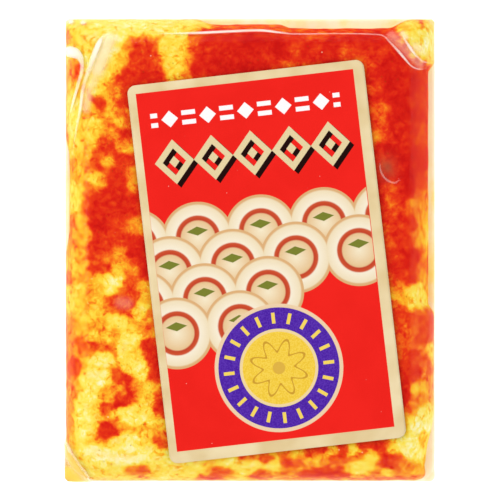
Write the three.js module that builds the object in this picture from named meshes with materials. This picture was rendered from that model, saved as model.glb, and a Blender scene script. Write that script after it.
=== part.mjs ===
// A rounded slab of halloumi in a tight clear bag, lying on its back, with a paper label stuck on top.
// Millimetres, +Z up. The origin is the centre of the flat underside, and +Y points to the label's head.
import * as THREE from "three";

// Sizes of the bag and the cheese that fills it
const packWidth = 90;
const packLength = 112.6;
const packHeight = 24;
const girthHeight = 10.5; // the height at which the bag is widest
const girthWall = 2; // the upright band above the girth, and below it
const topRoll = 7.5; // how far the rounded upper edge reaches in from the outline
const baseRoll = 5.5; // the same for the lower edge
const bodyCorners = [3.4, 3, 8, 5.4]; // plan radii of the body, from the right head corner counter-clockwise
const earCorner = 1.1; // plan radius of the film ears that the bag pinches out at the girth
const earSpread = 4.5; // the height over which an ear runs back into its corner
const waveHeight = 0.35; // unevenness of the upper face
const waveLengthX = 70;
const waveLengthY = 95;
const wavePhase = 0.6;

// Sizes of the label
const labelWidth = 57;
const labelLength = 91.1;
const labelCorner = 2;
const labelThickness = 0.25;
const labelGap = 0.3; // the glue line between the label and the bag
const labelTilt = THREE.MathUtils.degToRad(6.6);
const labelCentreX = 4;
const labelCentreY = -2.8;

// Fineness of the facets
const cornerSteps = 8;
const sideSteps = 6;
const rollSteps = 8;
const wallSteps = 6;
const topRings = 6;
const labelColumns = 14;
const labelRows = 22;
const labelArcSteps = 3;

const quarterTurn = Math.PI / 2;
const wallFoot = girthHeight - girthWall;
const wallHead = girthHeight + girthWall;

// The plan radii of the corners at a height: small at the girth, where the film is pinched into ears.
function cornerRadii(height) {
  const away = THREE.MathUtils.smoothstep(Math.abs(height - girthHeight), 0, earSpread);
  return bodyCorners.map((radius) => THREE.MathUtils.lerp(earCorner, radius, away));
}

// The slow rise and fall of the upper face, which dies out over the rounded edge.
function wave(x, y, inset) {
  const fade = THREE.MathUtils.smoothstep(inset, 0, 2 * topRoll);
  const alongX = Math.sin((x / waveLengthX) * 4 * quarterTurn + wavePhase);
  const alongY = Math.cos((y / waveLengthY) * 4 * quarterTurn + wavePhase);
  return waveHeight * fade * alongX * alongY;
}

// The height of the upper side at a distance in from the outline: a quarter ellipse, then level.
function rollHeight(inset) {
  const left = Math.max(0, 1 - inset / topRoll);
  return wallHead + (packHeight - wallHead) * Math.sqrt(1 - left * left);
}

// The height of the upper side at a place, away from the pack's own corners.
function topHeight(x, y) {
  const inset = Math.min(packWidth / 2 - Math.abs(x), packLength / 2 - Math.abs(y));
  return rollHeight(inset) + wave(x, y, inset);
}

// One level outline of the pack: four corner arcs, counter-clockwise, and the straight sides between them.
function outline(inset, radii) {
  const corners = [[1, 1], [-1, 1], [-1, -1], [1, -1]];
  const arcs = corners.map(([signX, signY], corner) => {
    const radius = radii[corner];
    const reachX = packWidth / 2 - inset - radius;
    const reachY = packLength / 2 - inset - radius;
    const arc = [];
    for (let step = 0; step <= cornerSteps; step++) {
      const angle = (corner + step / cornerSteps) * quarterTurn;
      const x = signX * reachX + radius * Math.cos(angle);
      const y = signY * reachY + radius * Math.sin(angle);
      arc.push(new THREE.Vector2(x, y));
    }
    return arc;
  });
  const points = [];
  arcs.forEach((arc, corner) => {
    points.push(...arc);
    const from = arc[cornerSteps];
    const to = arcs[(corner + 1) % arcs.length][0];
    for (let step = 1; step < sideSteps; step++) {
      points.push(new THREE.Vector2().lerpVectors(from, to, step / sideSteps));
    }
  });
  return points;
}

// The outlines from the underside up to the edge of the level top, each a ring of points in space.
function wallRings() {
  const rings = [];
  const addRing = (inset, height, uneven) => {
    const points = outline(inset, cornerRadii(height));
    rings.push(points.map(({ x, y }) => new THREE.Vector3(x, y, height + (uneven ? wave(x, y, inset) : 0))));
  };
  for (let step = 0; step <= rollSteps; step++) {
    const angle = (step / rollSteps) * quarterTurn;
    addRing(baseRoll * (1 - Math.sin(angle)), wallFoot * (1 - Math.cos(angle)), false);
  }
  for (let step = 1; step < wallSteps; step++) {
    addRing(0, THREE.MathUtils.lerp(wallFoot, wallHead, step / wallSteps), false);
  }
  for (let step = 0; step <= rollSteps; step++) {
    const inset = topRoll * (1 - Math.cos((step / rollSteps) * quarterTurn));
    addRing(inset, rollHeight(inset), true);
  }
  return rings;
}

// The rings of the level top, each the last outline drawn in towards the centre.
function topFaceRings(edge) {
  const rings = [];
  for (let step = 1; step < topRings; step++) {
    const scale = 1 - step / topRings;
    rings.push(edge.map(({ x, y }) => {
      const place = new THREE.Vector3(x * scale, y * scale, 0);
      place.z = topHeight(place.x, place.y);
      return place;
    }));
  }
  return rings;
}

// The closed skin through all rings, with a point at the middle of the underside and of the top.
function packGeometry() {
  const walls = wallRings();
  const rings = [...walls, ...topFaceRings(walls[walls.length - 1])];
  const count = rings[0].length;
  const points = rings.flat();
  const baseMiddle = points.push(new THREE.Vector3(0, 0, 0)) - 1;
  const topMiddle = points.push(new THREE.Vector3(0, 0, topHeight(0, 0))) - 1;
  const triangles = [];
  for (let place = 0; place < count; place++) {
    const next = (place + 1) % count;
    triangles.push(baseMiddle, next, place);
    for (let ring = 0; ring + 1 < rings.length; ring++) {
      const low = ring * count;
      const high = low + count;
      triangles.push(low + place, low + next, high + next);
      triangles.push(low + place, high + next, high + place);
    }
    const last = (rings.length - 1) * count;
    triangles.push(topMiddle, last + place, last + next);
  }
  return solidGeometry(points, triangles);
}

// The rows of the label from foot to head, narrowed at both ends by the rounded corners.
function labelRowList() {
  const reach = labelLength / 2 - labelCorner;
  const halfFlat = labelWidth / 2 - labelCorner;
  const rows = [];
  for (let step = 0; step < labelArcSteps; step++) {
    const angle = (1 - step / labelArcSteps) * quarterTurn;
    rows.push({ v: -reach - labelCorner * Math.sin(angle), half: halfFlat + labelCorner * Math.cos(angle) });
  }
  for (let step = 0; step <= labelRows; step++) {
    rows.push({ v: THREE.MathUtils.lerp(-reach, reach, step / labelRows), half: labelWidth / 2 });
  }
  for (let step = 1; step <= labelArcSteps; step++) {
    const angle = (step / labelArcSteps) * quarterTurn;
    rows.push({ v: reach + labelCorner * Math.sin(angle), half: halfFlat + labelCorner * Math.cos(angle) });
  }
  return rows;
}

// The label in its own turned frame: a thin sheet that bends down where it passes over the rounded edge.
function labelGeometry() {
  const rows = labelRowList();
  const columns = labelColumns + 1;
  const sheet = (lift) => rows.flatMap(({ v, half }) => {
    const row = [];
    for (let column = 0; column < columns; column++) {
      const u = THREE.MathUtils.lerp(-half, half, column / labelColumns);
      const x = labelCentreX + u * Math.cos(labelTilt) - v * Math.sin(labelTilt);
      const y = labelCentreY + u * Math.sin(labelTilt) + v * Math.cos(labelTilt);
      row.push(new THREE.Vector3(u, v, topHeight(x, y) + lift));
    }
    return row;
  });
  const under = sheet(labelGap);
  const upper = sheet(labelGap + labelThickness);
  const above = under.length;
  const triangles = [];
  for (let row = 0; row + 1 < rows.length; row++) {
    for (let column = 0; column < labelColumns; column++) {
      const near = row * columns + column;
      const far = near + columns;
      triangles.push(near + above, near + 1 + above, far + 1 + above);
      triangles.push(near + above, far + 1 + above, far + above);
      triangles.push(near, far + 1, near + 1);
      triangles.push(near, far, far + 1);
    }
  }
  const rim = [];
  const lastRow = (rows.length - 1) * columns;
  for (let column = 0; column < labelColumns; column++) {
    rim.push(column);
  }
  for (let row = 0; row + 1 < rows.length; row++) {
    rim.push(row * columns + labelColumns);
  }
  for (let column = labelColumns; column > 0; column--) {
    rim.push(lastRow + column);
  }
  for (let row = rows.length - 1; row > 0; row--) {
    rim.push(row * columns);
  }
  rim.forEach((from, place) => {
    const to = rim[(place + 1) % rim.length];
    triangles.push(from, to, to + above);
    triangles.push(from, to + above, from + above);
  });
  return solidGeometry([...under, ...upper], triangles);
}

// A geometry from points and triples of their numbers.
function solidGeometry(points, triangles) {
  const geometry = new THREE.BufferGeometry().setFromPoints(points);
  geometry.setIndex(triangles);
  geometry.computeVertexNormals();
  return geometry;
}

// A named mesh with its own finish.
function piece(name, geometry, color, roughness) {
  const mesh = new THREE.Mesh(geometry, new THREE.MeshStandardMaterial({ color, roughness, metalness: 0 }));
  mesh.name = name;
  return mesh;
}

const sealedPack = piece("sealed_pack", packGeometry(), 0xf08c28, 0.2);

const paperLabel = piece("paper_label", labelGeometry(), 0xec2a22, 0.45);
paperLabel.position.set(labelCentreX, labelCentreY, 0);
paperLabel.rotation.z = labelTilt;

const group = new THREE.Group();
group.add(sealedPack, paperLabel);

export default group;
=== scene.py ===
"""A block of halloumi marbled with paprika, sealed in tight clear film, with a paper label on top.

The scene is in metres with +Z up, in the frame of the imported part. The classes hold their sizes in
millimetres, which become metres when a mesh is made. The block lies on its back and the camera looks
straight down on it, with +Y towards the top of the picture.
"""
from __future__ import annotations

import logging
import math
from dataclasses import dataclass
from enum import Enum
from typing import Any, Iterable

import bpy
import numpy as np
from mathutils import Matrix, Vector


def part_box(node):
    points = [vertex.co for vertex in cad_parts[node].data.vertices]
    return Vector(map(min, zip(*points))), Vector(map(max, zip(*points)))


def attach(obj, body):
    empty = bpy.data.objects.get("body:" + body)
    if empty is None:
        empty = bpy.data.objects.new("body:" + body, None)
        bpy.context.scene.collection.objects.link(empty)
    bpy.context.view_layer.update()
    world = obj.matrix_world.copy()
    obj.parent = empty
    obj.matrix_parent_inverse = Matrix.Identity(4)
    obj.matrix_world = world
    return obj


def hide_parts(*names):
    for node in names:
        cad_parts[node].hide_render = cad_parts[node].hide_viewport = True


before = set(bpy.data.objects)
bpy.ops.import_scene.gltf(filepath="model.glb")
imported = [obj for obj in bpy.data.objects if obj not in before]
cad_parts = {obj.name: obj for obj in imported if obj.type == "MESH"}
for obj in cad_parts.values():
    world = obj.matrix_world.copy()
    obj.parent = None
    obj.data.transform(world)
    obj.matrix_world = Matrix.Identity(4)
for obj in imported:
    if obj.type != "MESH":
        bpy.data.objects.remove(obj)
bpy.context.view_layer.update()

MM = 0.001
QUARTER = math.pi / 2
NEARLY_NONE = 1e-6
LIGHT_LEVEL = 1.72  # how much brighter than its own colour a level white surface looks in this light

Colour = tuple[float, float, float, float]
Stops = tuple[tuple[float, Colour], ...]
Spot = tuple[float, float, float, float, float]

log = logging.getLogger("halloumi")


# Colour

def lit(red: int, green: int, blue: int, gain: float = 1.0) -> Colour:
    """Gives the surface colour that looks like an sRGB colour in the studio's light.

    Args:
        red: The wanted red, 0 to 255.
        green: The wanted green, 0 to 255.
        blue: The wanted blue, 0 to 255.
        gain: How much brighter to make it, for light that something else keeps off the surface.

    Returns:
        Linear red, green, blue and an alpha of 1.
    """
    share = np.array([red, green, blue]) / 255.0
    linear = np.where(share > 0.04045, ((share + 0.055) / 1.055) ** 2.4, share / 12.92)
    return (*(linear * gain / LIGHT_LEVEL).tolist(), 1.0)


# Numbers on arrays

def smooth_step(value: np.ndarray, low: float, high: float) -> np.ndarray:
    """Rises smoothly from 0 at low to 1 at high: 3t^2 - 2t^3 of the clamped share t."""
    share = np.clip((value - low) / (high - low), 0.0, 1.0)
    return share * share * (3.0 - 2.0 * share)


def lattice_noise(places: np.ndarray, cell: float, seed: int) -> np.ndarray:
    """Gives smooth noise: random numbers at the corners of a cubic lattice, blended by smooth steps.

    Args:
        places: Points, one a row, in any number of dimensions from 1 to 3.
        cell: The lattice's pitch, in the points' own unit.
        seed: The seed of the random numbers.

    Returns:
        One number from -1 to 1 for each point.
    """
    side = 32  # the lattice repeats after this many cells
    depth = places.shape[1]
    table = np.random.default_rng(seed).uniform(-1.0, 1.0, (side,) * depth)
    scaled = places / cell
    base = np.floor(scaled).astype(int)
    share = smooth_step(scaled - base, 0.0, 1.0)
    total = np.zeros(len(places))
    for corner in np.ndindex((2,) * depth):
        weight = np.where(np.array(corner) == 1, share, 1.0 - share).prod(axis=1)
        total += weight * table[tuple(((base + np.array(corner)) % side).T)]
    return total


def distance_to_path(places: np.ndarray, path: np.ndarray) -> np.ndarray:
    """Gives each point's distance to the nearest leg of an open path, in the plane.

    Args:
        places: Points in the plane, one a row.
        path: The path's points, one a row.

    Returns:
        One distance for each point.
    """
    nearest = np.full(len(places), np.inf)
    for start, end in zip(path[:-1], path[1:]):
        leg = end - start
        share = np.clip((places - start) @ leg / (leg @ leg), 0.0, 1.0)
        nearest = np.minimum(nearest, np.linalg.norm(places - start - share[:, None] * leg, axis=1))
    return nearest


def spline(points: np.ndarray, steps: int) -> np.ndarray:
    """Runs a smooth curve through points: Catmull-Rom cubics, with the end points repeated.

    Args:
        points: The points to pass through, one a row.
        steps: The steps from each point to the next.

    Returns:
        The curve's points, one a row.
    """
    padded = np.vstack([2 * points[0] - points[1], points, 2 * points[-1] - points[-2]])
    share = np.linspace(0.0, 1.0, steps, endpoint=False)[:, None]
    legs = []
    for before, start, end, after in zip(padded, padded[1:], padded[2:], padded[3:]):
        legs.append(0.5 * (
            2 * start
            + (end - before) * share
            + (2 * before - 5 * start + 4 * end - after) * share ** 2
            + (3 * start - before - 3 * end + after) * share ** 3
        ))
    return np.vstack([*legs, points[-1:]])


# Meshes

def grid_faces(rows: int, columns: int, wrap: bool, first: int = 0) -> np.ndarray:
    """Lists the four-sided faces of a grid of points numbered row by row.

    Args:
        rows: The number of rows.
        columns: The number of points in a row.
        wrap: Whether each row closes on itself.
        first: The number of the grid's first point.

    Returns:
        Four point numbers a face, counter-clockwise seen with rows going up and columns to the right.
    """
    row, column = np.meshgrid(np.arange(rows - 1), np.arange(columns if wrap else columns - 1), indexing="ij")
    after = (column + 1) % columns
    low = row * columns
    high = low + columns
    corners = [low + column, low + after, high + after, high + column]
    return np.stack([corner.ravel() for corner in corners], axis=1) + first


def fan_faces(hub: int, rim: np.ndarray) -> np.ndarray:
    """Lists the triangles from a hub to each pair of neighbours on a closed rim."""
    return np.stack([np.full(len(rim), hub), rim, np.roll(rim, -1)], axis=1)


def mesh_object(name: str, points: np.ndarray, faces: Iterable[np.ndarray]) -> bpy.types.Object:
    """Makes a smooth-shaded object at the origin.

    Args:
        name: The object's name.
        points: The points in millimetres, one a row.
        faces: Arrays of faces, each with its own number of corners.

    Returns:
        The new object, linked to the scene.
    """
    faces = list(faces)
    sizes = np.concatenate([np.full(len(block), block.shape[1]) for block in faces])
    corners = np.concatenate([block.ravel() for block in faces])
    mesh = bpy.data.meshes.new(name)
    mesh.vertices.add(len(points))
    mesh.vertices.foreach_set("co", (points * MM).astype(np.float32).ravel())
    mesh.loops.add(len(corners))
    mesh.loops.foreach_set("vertex_index", corners.astype(np.int32))
    mesh.polygons.add(len(sizes))
    mesh.polygons.foreach_set("loop_start", np.concatenate([[0], np.cumsum(sizes)[:-1]]).astype(np.int32))
    mesh.update(calc_edges=True)
    mesh.validate()
    mesh.shade_smooth()
    made = bpy.data.objects.new(name, mesh)
    bpy.context.scene.collection.objects.link(made)
    return made


def sheet_object(name: str, upper: np.ndarray, thickness: float) -> bpy.types.Object:
    """Makes a thin closed sheet from the grid of its upper face.

    The under face lies straight below by the thickness, and a strip of quads joins the two along the rim.

    Args:
        name: The object's name.
        upper: The upper face's points, rows by columns by 3, with the columns to the right of the rows.
        thickness: How thick the sheet is.

    Returns:
        The new object, whose points are those of the under face and then those of the upper one.
    """
    rows, columns = upper.shape[:2]
    under = upper.reshape(-1, 3) - np.array([0.0, 0.0, thickness])
    number = np.arange(rows * columns).reshape(rows, columns)
    rim = np.concatenate([number[0, :-1], number[:-1, -1], number[-1, :0:-1], number[:0:-1, 0]])
    above = len(under)
    side = np.stack([rim, np.roll(rim, -1), np.roll(rim, -1) + above, rim + above], axis=1)
    faces = [grid_faces(rows, columns, False)[:, ::-1], grid_faces(rows, columns, False, above), side]
    return mesh_object(name, np.vstack([under, upper.reshape(-1, 3)]), faces)


def paint(piece: bpy.types.Object, name: str, values: np.ndarray) -> None:
    """Writes one number for each point of a piece, as a named attribute."""
    layer = piece.data.attributes.new(name, "FLOAT", "POINT")
    layer.data.foreach_set("value", values.astype(np.float32))


def dress(piece: bpy.types.Object, finish: bpy.types.Material, node: str) -> None:
    """Gives a piece its finish and ties it to the part.

    Args:
        piece: The piece.
        finish: Its material.
        node: The CAD node that it stands for.
    """
    piece.data.materials.append(finish)
    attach(piece, "root")
    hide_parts(node)
    log.info("made %s, %d faces", piece.name, len(piece.data.polygons))


# Shader maths

class Wire:
    """A number that comes out of a node, with arithmetic that adds Math nodes."""

    def __init__(self, tree: "Tree", socket: bpy.types.NodeSocket) -> None:
        """Wraps a socket of a tree."""
        self.tree = tree
        self.socket = socket

    def math(self, operation: str, *others: "Wire | float", clamp: bool = False) -> "Wire":
        """Adds a Math node with this number first."""
        return self.tree.math(operation, self, *others, clamp=clamp)

    def __add__(self, other: "Wire | float") -> "Wire":
        """Adds."""
        return self.math("ADD", other)

    __radd__ = __add__

    def __mul__(self, other: "Wire | float") -> "Wire":
        """Multiplies."""
        return self.math("MULTIPLY", other)

    __rmul__ = __mul__

    def __sub__(self, other: "Wire | float") -> "Wire":
        """Subtracts a number from this one."""
        return self.math("SUBTRACT", other)

    def __rsub__(self, other: float) -> "Wire":
        """Subtracts this from a number."""
        return self.tree.math("SUBTRACT", other, self)

    def __truediv__(self, other: "Wire | float") -> "Wire":
        """Divides this by a number."""
        return self.math("DIVIDE", other)

    def __abs__(self) -> "Wire":
        """Drops the sign."""
        return self.math("ABSOLUTE")

    def highest(self, other: "Wire | float") -> "Wire":
        """Takes the larger of two numbers."""
        return self.math("MAXIMUM", other)

    def lowest(self, other: "Wire | float") -> "Wire":
        """Takes the smaller of two numbers."""
        return self.math("MINIMUM", other)

    def beside(self, other: "Wire") -> "Wire":
        """Takes the length of the arrow with these two numbers as its sides."""
        return (self * self + other * other).math("SQRT")

    def wrapped(self, period: float) -> "Wire":
        """Repeats the number from minus half a period to plus half a period."""
        return self.math("WRAP", period / 2, -period / 2)

    def ranged(self, low: float, high: float, start: float = 0.0, end: float = 1.0) -> "Wire":
        """Maps one range evenly to another, and holds both ends.

        Args:
            low: The number that becomes start.
            high: The number that becomes end.
            start: What low becomes.
            end: What high becomes.

        Returns:
            The mapped number.
        """
        node = self.tree.node(
            "ShaderNodeMapRange",
            {"clamp": True},
            {"Value": self, "From Min": low, "From Max": high, "To Min": start, "To Max": end},
        )
        return Wire(self.tree, node.outputs["Result"])

    def inside(self, soft: float) -> "Wire":
        """Is 1 where a signed distance is below zero, 0 above, with a soft edge of the given width."""
        return self.ranged(soft / 2, -soft / 2)


class Tree:
    """A node tree that is emptied and built anew, every node by one method."""

    def __init__(self, tree: bpy.types.NodeTree) -> None:
        """Empties the tree."""
        self.tree = tree
        tree.nodes.clear()

    def node(self, kind: str, settings: dict[str, Any] | None = None,
             sockets: dict[str | int, Any] | None = None) -> bpy.types.Node:
        """Adds a node.

        Args:
            kind: The node's type.
            settings: The node's own settings, set first. The key "stops" holds a ramp's places and colours.
            sockets: A value, a Wire or an output socket for each named or numbered input.

        Returns:
            The new node.
        """
        made = self.tree.nodes.new(kind)
        for name, value in (settings or {}).items():
            if name == "stops":
                self.set_stops(made.color_ramp, value)
            else:
                setattr(made, name, value)
        for name, value in (sockets or {}).items():
            source = value.socket if isinstance(value, Wire) else value
            if isinstance(source, bpy.types.NodeSocket):
                self.tree.links.new(source, made.inputs[name])
            else:
                made.inputs[name].default_value = source
        return made

    def set_stops(self, ramp: bpy.types.ColorRamp, stops: Stops) -> None:
        """Gives a ramp its stops.

        Args:
            ramp: The ramp, with two stops or more of its own.
            stops: The place and the colour of each stop.
        """
        while len(ramp.elements) < len(stops):
            ramp.elements.new(0.5)
        for element, (place, colour) in zip(ramp.elements, stops):
            element.position = place
            element.color = colour

    def math(self, operation: str, *values: "Wire | float", clamp: bool = False) -> Wire:
        """Adds a Math node and gives its result."""
        settings = {"operation": operation, "use_clamp": clamp}
        return Wire(self, self.node("ShaderNodeMath", settings, dict(enumerate(values))).outputs[0])

    def mix(self, share: Wire | float, first: Any, second: Any) -> bpy.types.NodeSocket:
        """Mixes two colours by a share of the second."""
        made = self.node("ShaderNodeMix", {"data_type": "RGBA"}, {0: share, 6: first, 7: second})
        return made.outputs[2]

    def blend(self, share: Wire | float, first: bpy.types.Node, second: bpy.types.Node) -> bpy.types.Node:
        """Mixes two shaders by a share of the second."""
        return self.node("ShaderNodeMixShader", None, {0: share, 1: first.outputs[0], 2: second.outputs[0]})

    def ramp(self, value: Wire, stops: Stops) -> bpy.types.NodeSocket:
        """Turns a number into a colour by a ramp."""
        return self.node("ShaderNodeValToRGB", {"stops": stops}, {0: value}).outputs[0]

    def vector(self, operation: str, sockets: dict[str | int, Any]) -> bpy.types.NodeSocket:
        """Adds a Vector Math node and gives its result."""
        return self.node("ShaderNodeVectorMath", {"operation": operation}, sockets).outputs[0]

    def place(self) -> bpy.types.NodeSocket:
        """Gives the surface's place on its own object, in millimetres."""
        source = self.node("ShaderNodeTexCoord").outputs["Object"]
        return self.vector("SCALE", {0: source, "Scale": 1 / MM})

    def parts(self, vector: bpy.types.NodeSocket) -> tuple[Wire, Wire, Wire]:
        """Splits a vector into its three numbers."""
        made = self.node("ShaderNodeSeparateXYZ", None, {0: vector})
        return tuple(Wire(self, socket) for socket in made.outputs)

    def attribute(self, name: str) -> Wire:
        """Reads a number painted on the mesh."""
        return Wire(self, self.node("ShaderNodeAttribute", {"attribute_name": name}).outputs["Fac"])

    def cloud(self, vector: bpy.types.NodeSocket, size: float, detail: float, drift: float) -> bpy.types.Node:
        """Adds a node of cloudy noise."""
        sockets = {"Vector": vector, "Scale": 1 / size, "Detail": detail, "Distortion": drift}
        return self.node("ShaderNodeTexNoise", {"noise_dimensions": "3D"}, sockets)

    def noise(self, vector: bpy.types.NodeSocket, size: float, detail: float, drift: float = 0.0) -> Wire:
        """Gives cloudy noise about 0.5 whose features are about size millimetres wide."""
        return Wire(self, self.cloud(vector, size, detail, drift).outputs[0])

    def cells(self, vector: bpy.types.NodeSocket, size: float, feature: str = "F1") -> Wire:
        """Gives a pattern of cells of a size.

        Args:
            vector: The place.
            size: How wide a cell is.
            feature: What the distance is measured to, F1 for the nearest cell's centre.

        Returns:
            The distance, in cells.
        """
        settings = {"feature": feature, "voronoi_dimensions": "3D"}
        made = self.node("ShaderNodeTexVoronoi", settings, {"Vector": vector, "Scale": 1 / size})
        return Wire(self, made.outputs["Distance"])

    def warped(self, vector: bpy.types.NodeSocket, size: float, reach: float) -> bpy.types.NodeSocket:
        """Shifts a place by cloudy noise.

        Args:
            vector: The place.
            size: How wide the noise's features are.
            reach: Twice the furthest shift each way.

        Returns:
            The shifted place.
        """
        colour = self.cloud(vector, size, 1.0, 0.0).outputs["Color"]
        centred = self.vector("SUBTRACT", {0: colour, 1: (0.5, 0.5, 0.5)})
        return self.vector("MULTIPLY_ADD", {0: centred, 1: (reach, reach, reach), 2: vector})

    def bump(self, height: Wire, depth: float, strength: float = 1.0) -> bpy.types.NodeSocket:
        """Turns a height into a bent normal, with a full height of depth millimetres."""
        sockets = {"Height": height, "Distance": depth * MM, "Strength": strength}
        return self.node("ShaderNodeBump", None, sockets).outputs["Normal"]

    def finish(self, shader: bpy.types.Node) -> None:
        """Ends the tree in a material output."""
        self.node("ShaderNodeOutputMaterial", None, {"Surface": shader.outputs[0]})

    def finish_plain(self, colour: Any, roughness: float, specular: float, normal: Any) -> None:
        """Ends the tree in a Principled shader.

        Args:
            colour: The base colour or its socket.
            roughness: The roughness all over.
            specular: The level of the plain reflection all over.
            normal: The bent normal.
        """
        self.finish(self.node("ShaderNodeBsdfPrincipled", None, {
            "Base Color": colour,
            "Roughness": roughness,
            "Specular IOR Level": specular,
            "Normal": normal,
        }))


def new_material(name: str) -> tuple[bpy.types.Material, Tree]:
    """Makes an empty material.

    Args:
        name: The material's name.

    Returns:
        The material and its tree.
    """
    made = bpy.data.materials.new(name)
    made.use_nodes = True
    return made, Tree(made.node_tree)


# The shape that the bag, the cheese and the label share

@dataclass(frozen=True)
class Fineness:
    """How finely a slab is divided: points round its outline, and rings up its profile.

    The top has two numbers, for its outer half, which the label leaves bare, and its inner half.
    """

    corner: int = 18
    short_side: int = 172
    long_side: int = 220
    under: int = 20
    base: int = 8
    wall: int = 8
    roll: int = 22
    top_outer: int = 44
    top_inner: int = 8


@dataclass(frozen=True)
class SlabForm:
    """A slab with rounded edges: level outlines that change with height. Lengths in millimetres."""

    width: float
    length: float
    height: float
    girth_height: float = 10.5
    girth_wall: float = 2.0
    top_roll: float = 7.5
    base_roll: float = 5.5
    corners: tuple[float, float, float, float] = (3.4, 3.0, 8.0, 5.4)
    ear_spread: float = 4.5
    wave_height: float = 0.35
    wave_length_x: float = 70.0
    wave_length_y: float = 95.0
    wave_phase: float = 0.6

    @classmethod
    def from_node(cls, node: str) -> "SlabForm":
        """Takes the slab's outer size from a CAD node, less the wave that stands above its top.

        Args:
            node: The node's name.

        Returns:
            The slab's sizes.
        """
        low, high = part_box(node)
        size = [(top - bottom) / MM for bottom, top in zip(low, high)]
        return cls(size[0], size[1], size[2] - cls.wave_height)

    def inset(self, x: np.ndarray, y: np.ndarray) -> np.ndarray:
        """Gives how far in from the outline a place lies.

        Beside a straight side it is the distance to it. In a corner it is the shrinkage t at which the
        outline, a rectangle with the same corner radius at every t, passes through the place. That
        makes a quadratic in t, with a and b the place's distances past the two ends of the corner's arc.

        Args:
            x: The places' first coordinates.
            y: Their second ones.

        Returns:
            The distance for each place.
        """
        quarters = [(x >= 0) & (y >= 0), (x < 0) & (y >= 0), (x < 0) & (y < 0)]
        radius = np.select(quarters, self.corners[:3], self.corners[3])
        a = np.abs(x) - self.width / 2 + radius
        b = np.abs(y) - self.length / 2 + radius
        in_corner = (np.sqrt(np.maximum(2 * radius ** 2 - (a - b) ** 2, 0.0)) - (a + b)) / 2
        return np.where(np.abs(a - b) < radius, in_corner, radius - np.maximum(a, b))

    def wave(self, x: np.ndarray, y: np.ndarray) -> np.ndarray:
        """Gives the upper face's slow rise and fall: a sine by a cosine, fading over the rounded edge.

        Args:
            x: The places' first coordinates.
            y: Their second ones.

        Returns:
            The rise at each place.
        """
        fade = smooth_step(self.inset(x, y), 0.0, 2 * self.top_roll)
        along_x = np.sin(x / self.wave_length_x * 4 * QUARTER + self.wave_phase)
        along_y = np.cos(y / self.wave_length_y * 4 * QUARTER + self.wave_phase)
        return self.wave_height * fade * along_x * along_y

    def top_height(self, x: np.ndarray, y: np.ndarray) -> np.ndarray:
        """Gives the upper side's height: a quarter ellipse in from the outline, then level, and the wave.

        Args:
            x: The places' first coordinates.
            y: Their second ones.

        Returns:
            The height at each place.
        """
        left = np.clip(1.0 - self.inset(x, y) / self.top_roll, 0.0, 1.0)
        wall_head = self.girth_height + self.girth_wall
        return wall_head + (self.height - wall_head) * np.sqrt(1.0 - left ** 2) + self.wave(x, y)


@dataclass
class SlabSurface:
    """The points of a slab's skin with what is known about each.

    Attributes:
        points: The place of each ring's points, rings by points by 3.
        outward: The outward direction of each point.
        turn: The outline's outward angle at each place round it.
        height: Each ring's height before any relief.
        beyond: How far each ring lies down the side from the start of the rounded edge.
    """

    points: np.ndarray
    outward: np.ndarray
    turn: np.ndarray
    height: np.ndarray
    beyond: np.ndarray

    def heading(self) -> np.ndarray:
        """Gives the level outward direction at each place round the outline."""
        return np.stack([np.cos(self.turn), np.sin(self.turn)], axis=1)

    def push(self, distance: np.ndarray) -> None:
        """Moves each point along its outward direction."""
        self.points = self.points + self.outward * distance[:, :, None]

    def draw_ears(self, form: SlabForm, ears: tuple[float, float, float, float]) -> None:
        """Draws the corners out at the girth to sharper ones, and back to the body's own radius away from it.

        Where a corner's radius falls by c, a point of its arc moves by c times the arrow from the arc's
        outward direction to the corner's own two signs.

        Args:
            form: The slab's sizes.
            ears: The plan radius of each corner at the girth.
        """
        away = smooth_step(np.abs(self.height - form.girth_height), 0.0, form.ear_spread)
        signs = np.sign(self.points[..., :2])
        heading = self.heading()
        quarter = np.floor(self.turn / QUARTER).astype(int) % 4
        change = (np.array(form.corners) - np.array(ears))[quarter][None, :] * (1.0 - away[:, None])
        in_arc = (np.abs(heading).min(axis=1) > NEARLY_NONE)[None, :]
        self.points[..., :2] += (signs - heading[None]) * (change * in_arc)[..., None]

    def flat_points(self) -> np.ndarray:
        """Gives the ring points one a row, with the middle of the underside and of the top at the end."""
        middles = [self.points[0].mean(axis=0), self.points[-1].mean(axis=0)]
        return np.vstack([self.points.reshape(-1, 3), *middles])

    def faces(self) -> list[np.ndarray]:
        """Lists the skin's faces.

        Returns:
            The quads between the rings, then the fan round each middle.
        """
        rings, around = self.points.shape[:2]
        last = (rings - 1) * around
        rim = np.arange(around)
        low = fan_faces(rings * around, rim[::-1])
        high = fan_faces(rings * around + 1, rim + last)
        return [grid_faces(rings, around, True), low, high]


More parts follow.
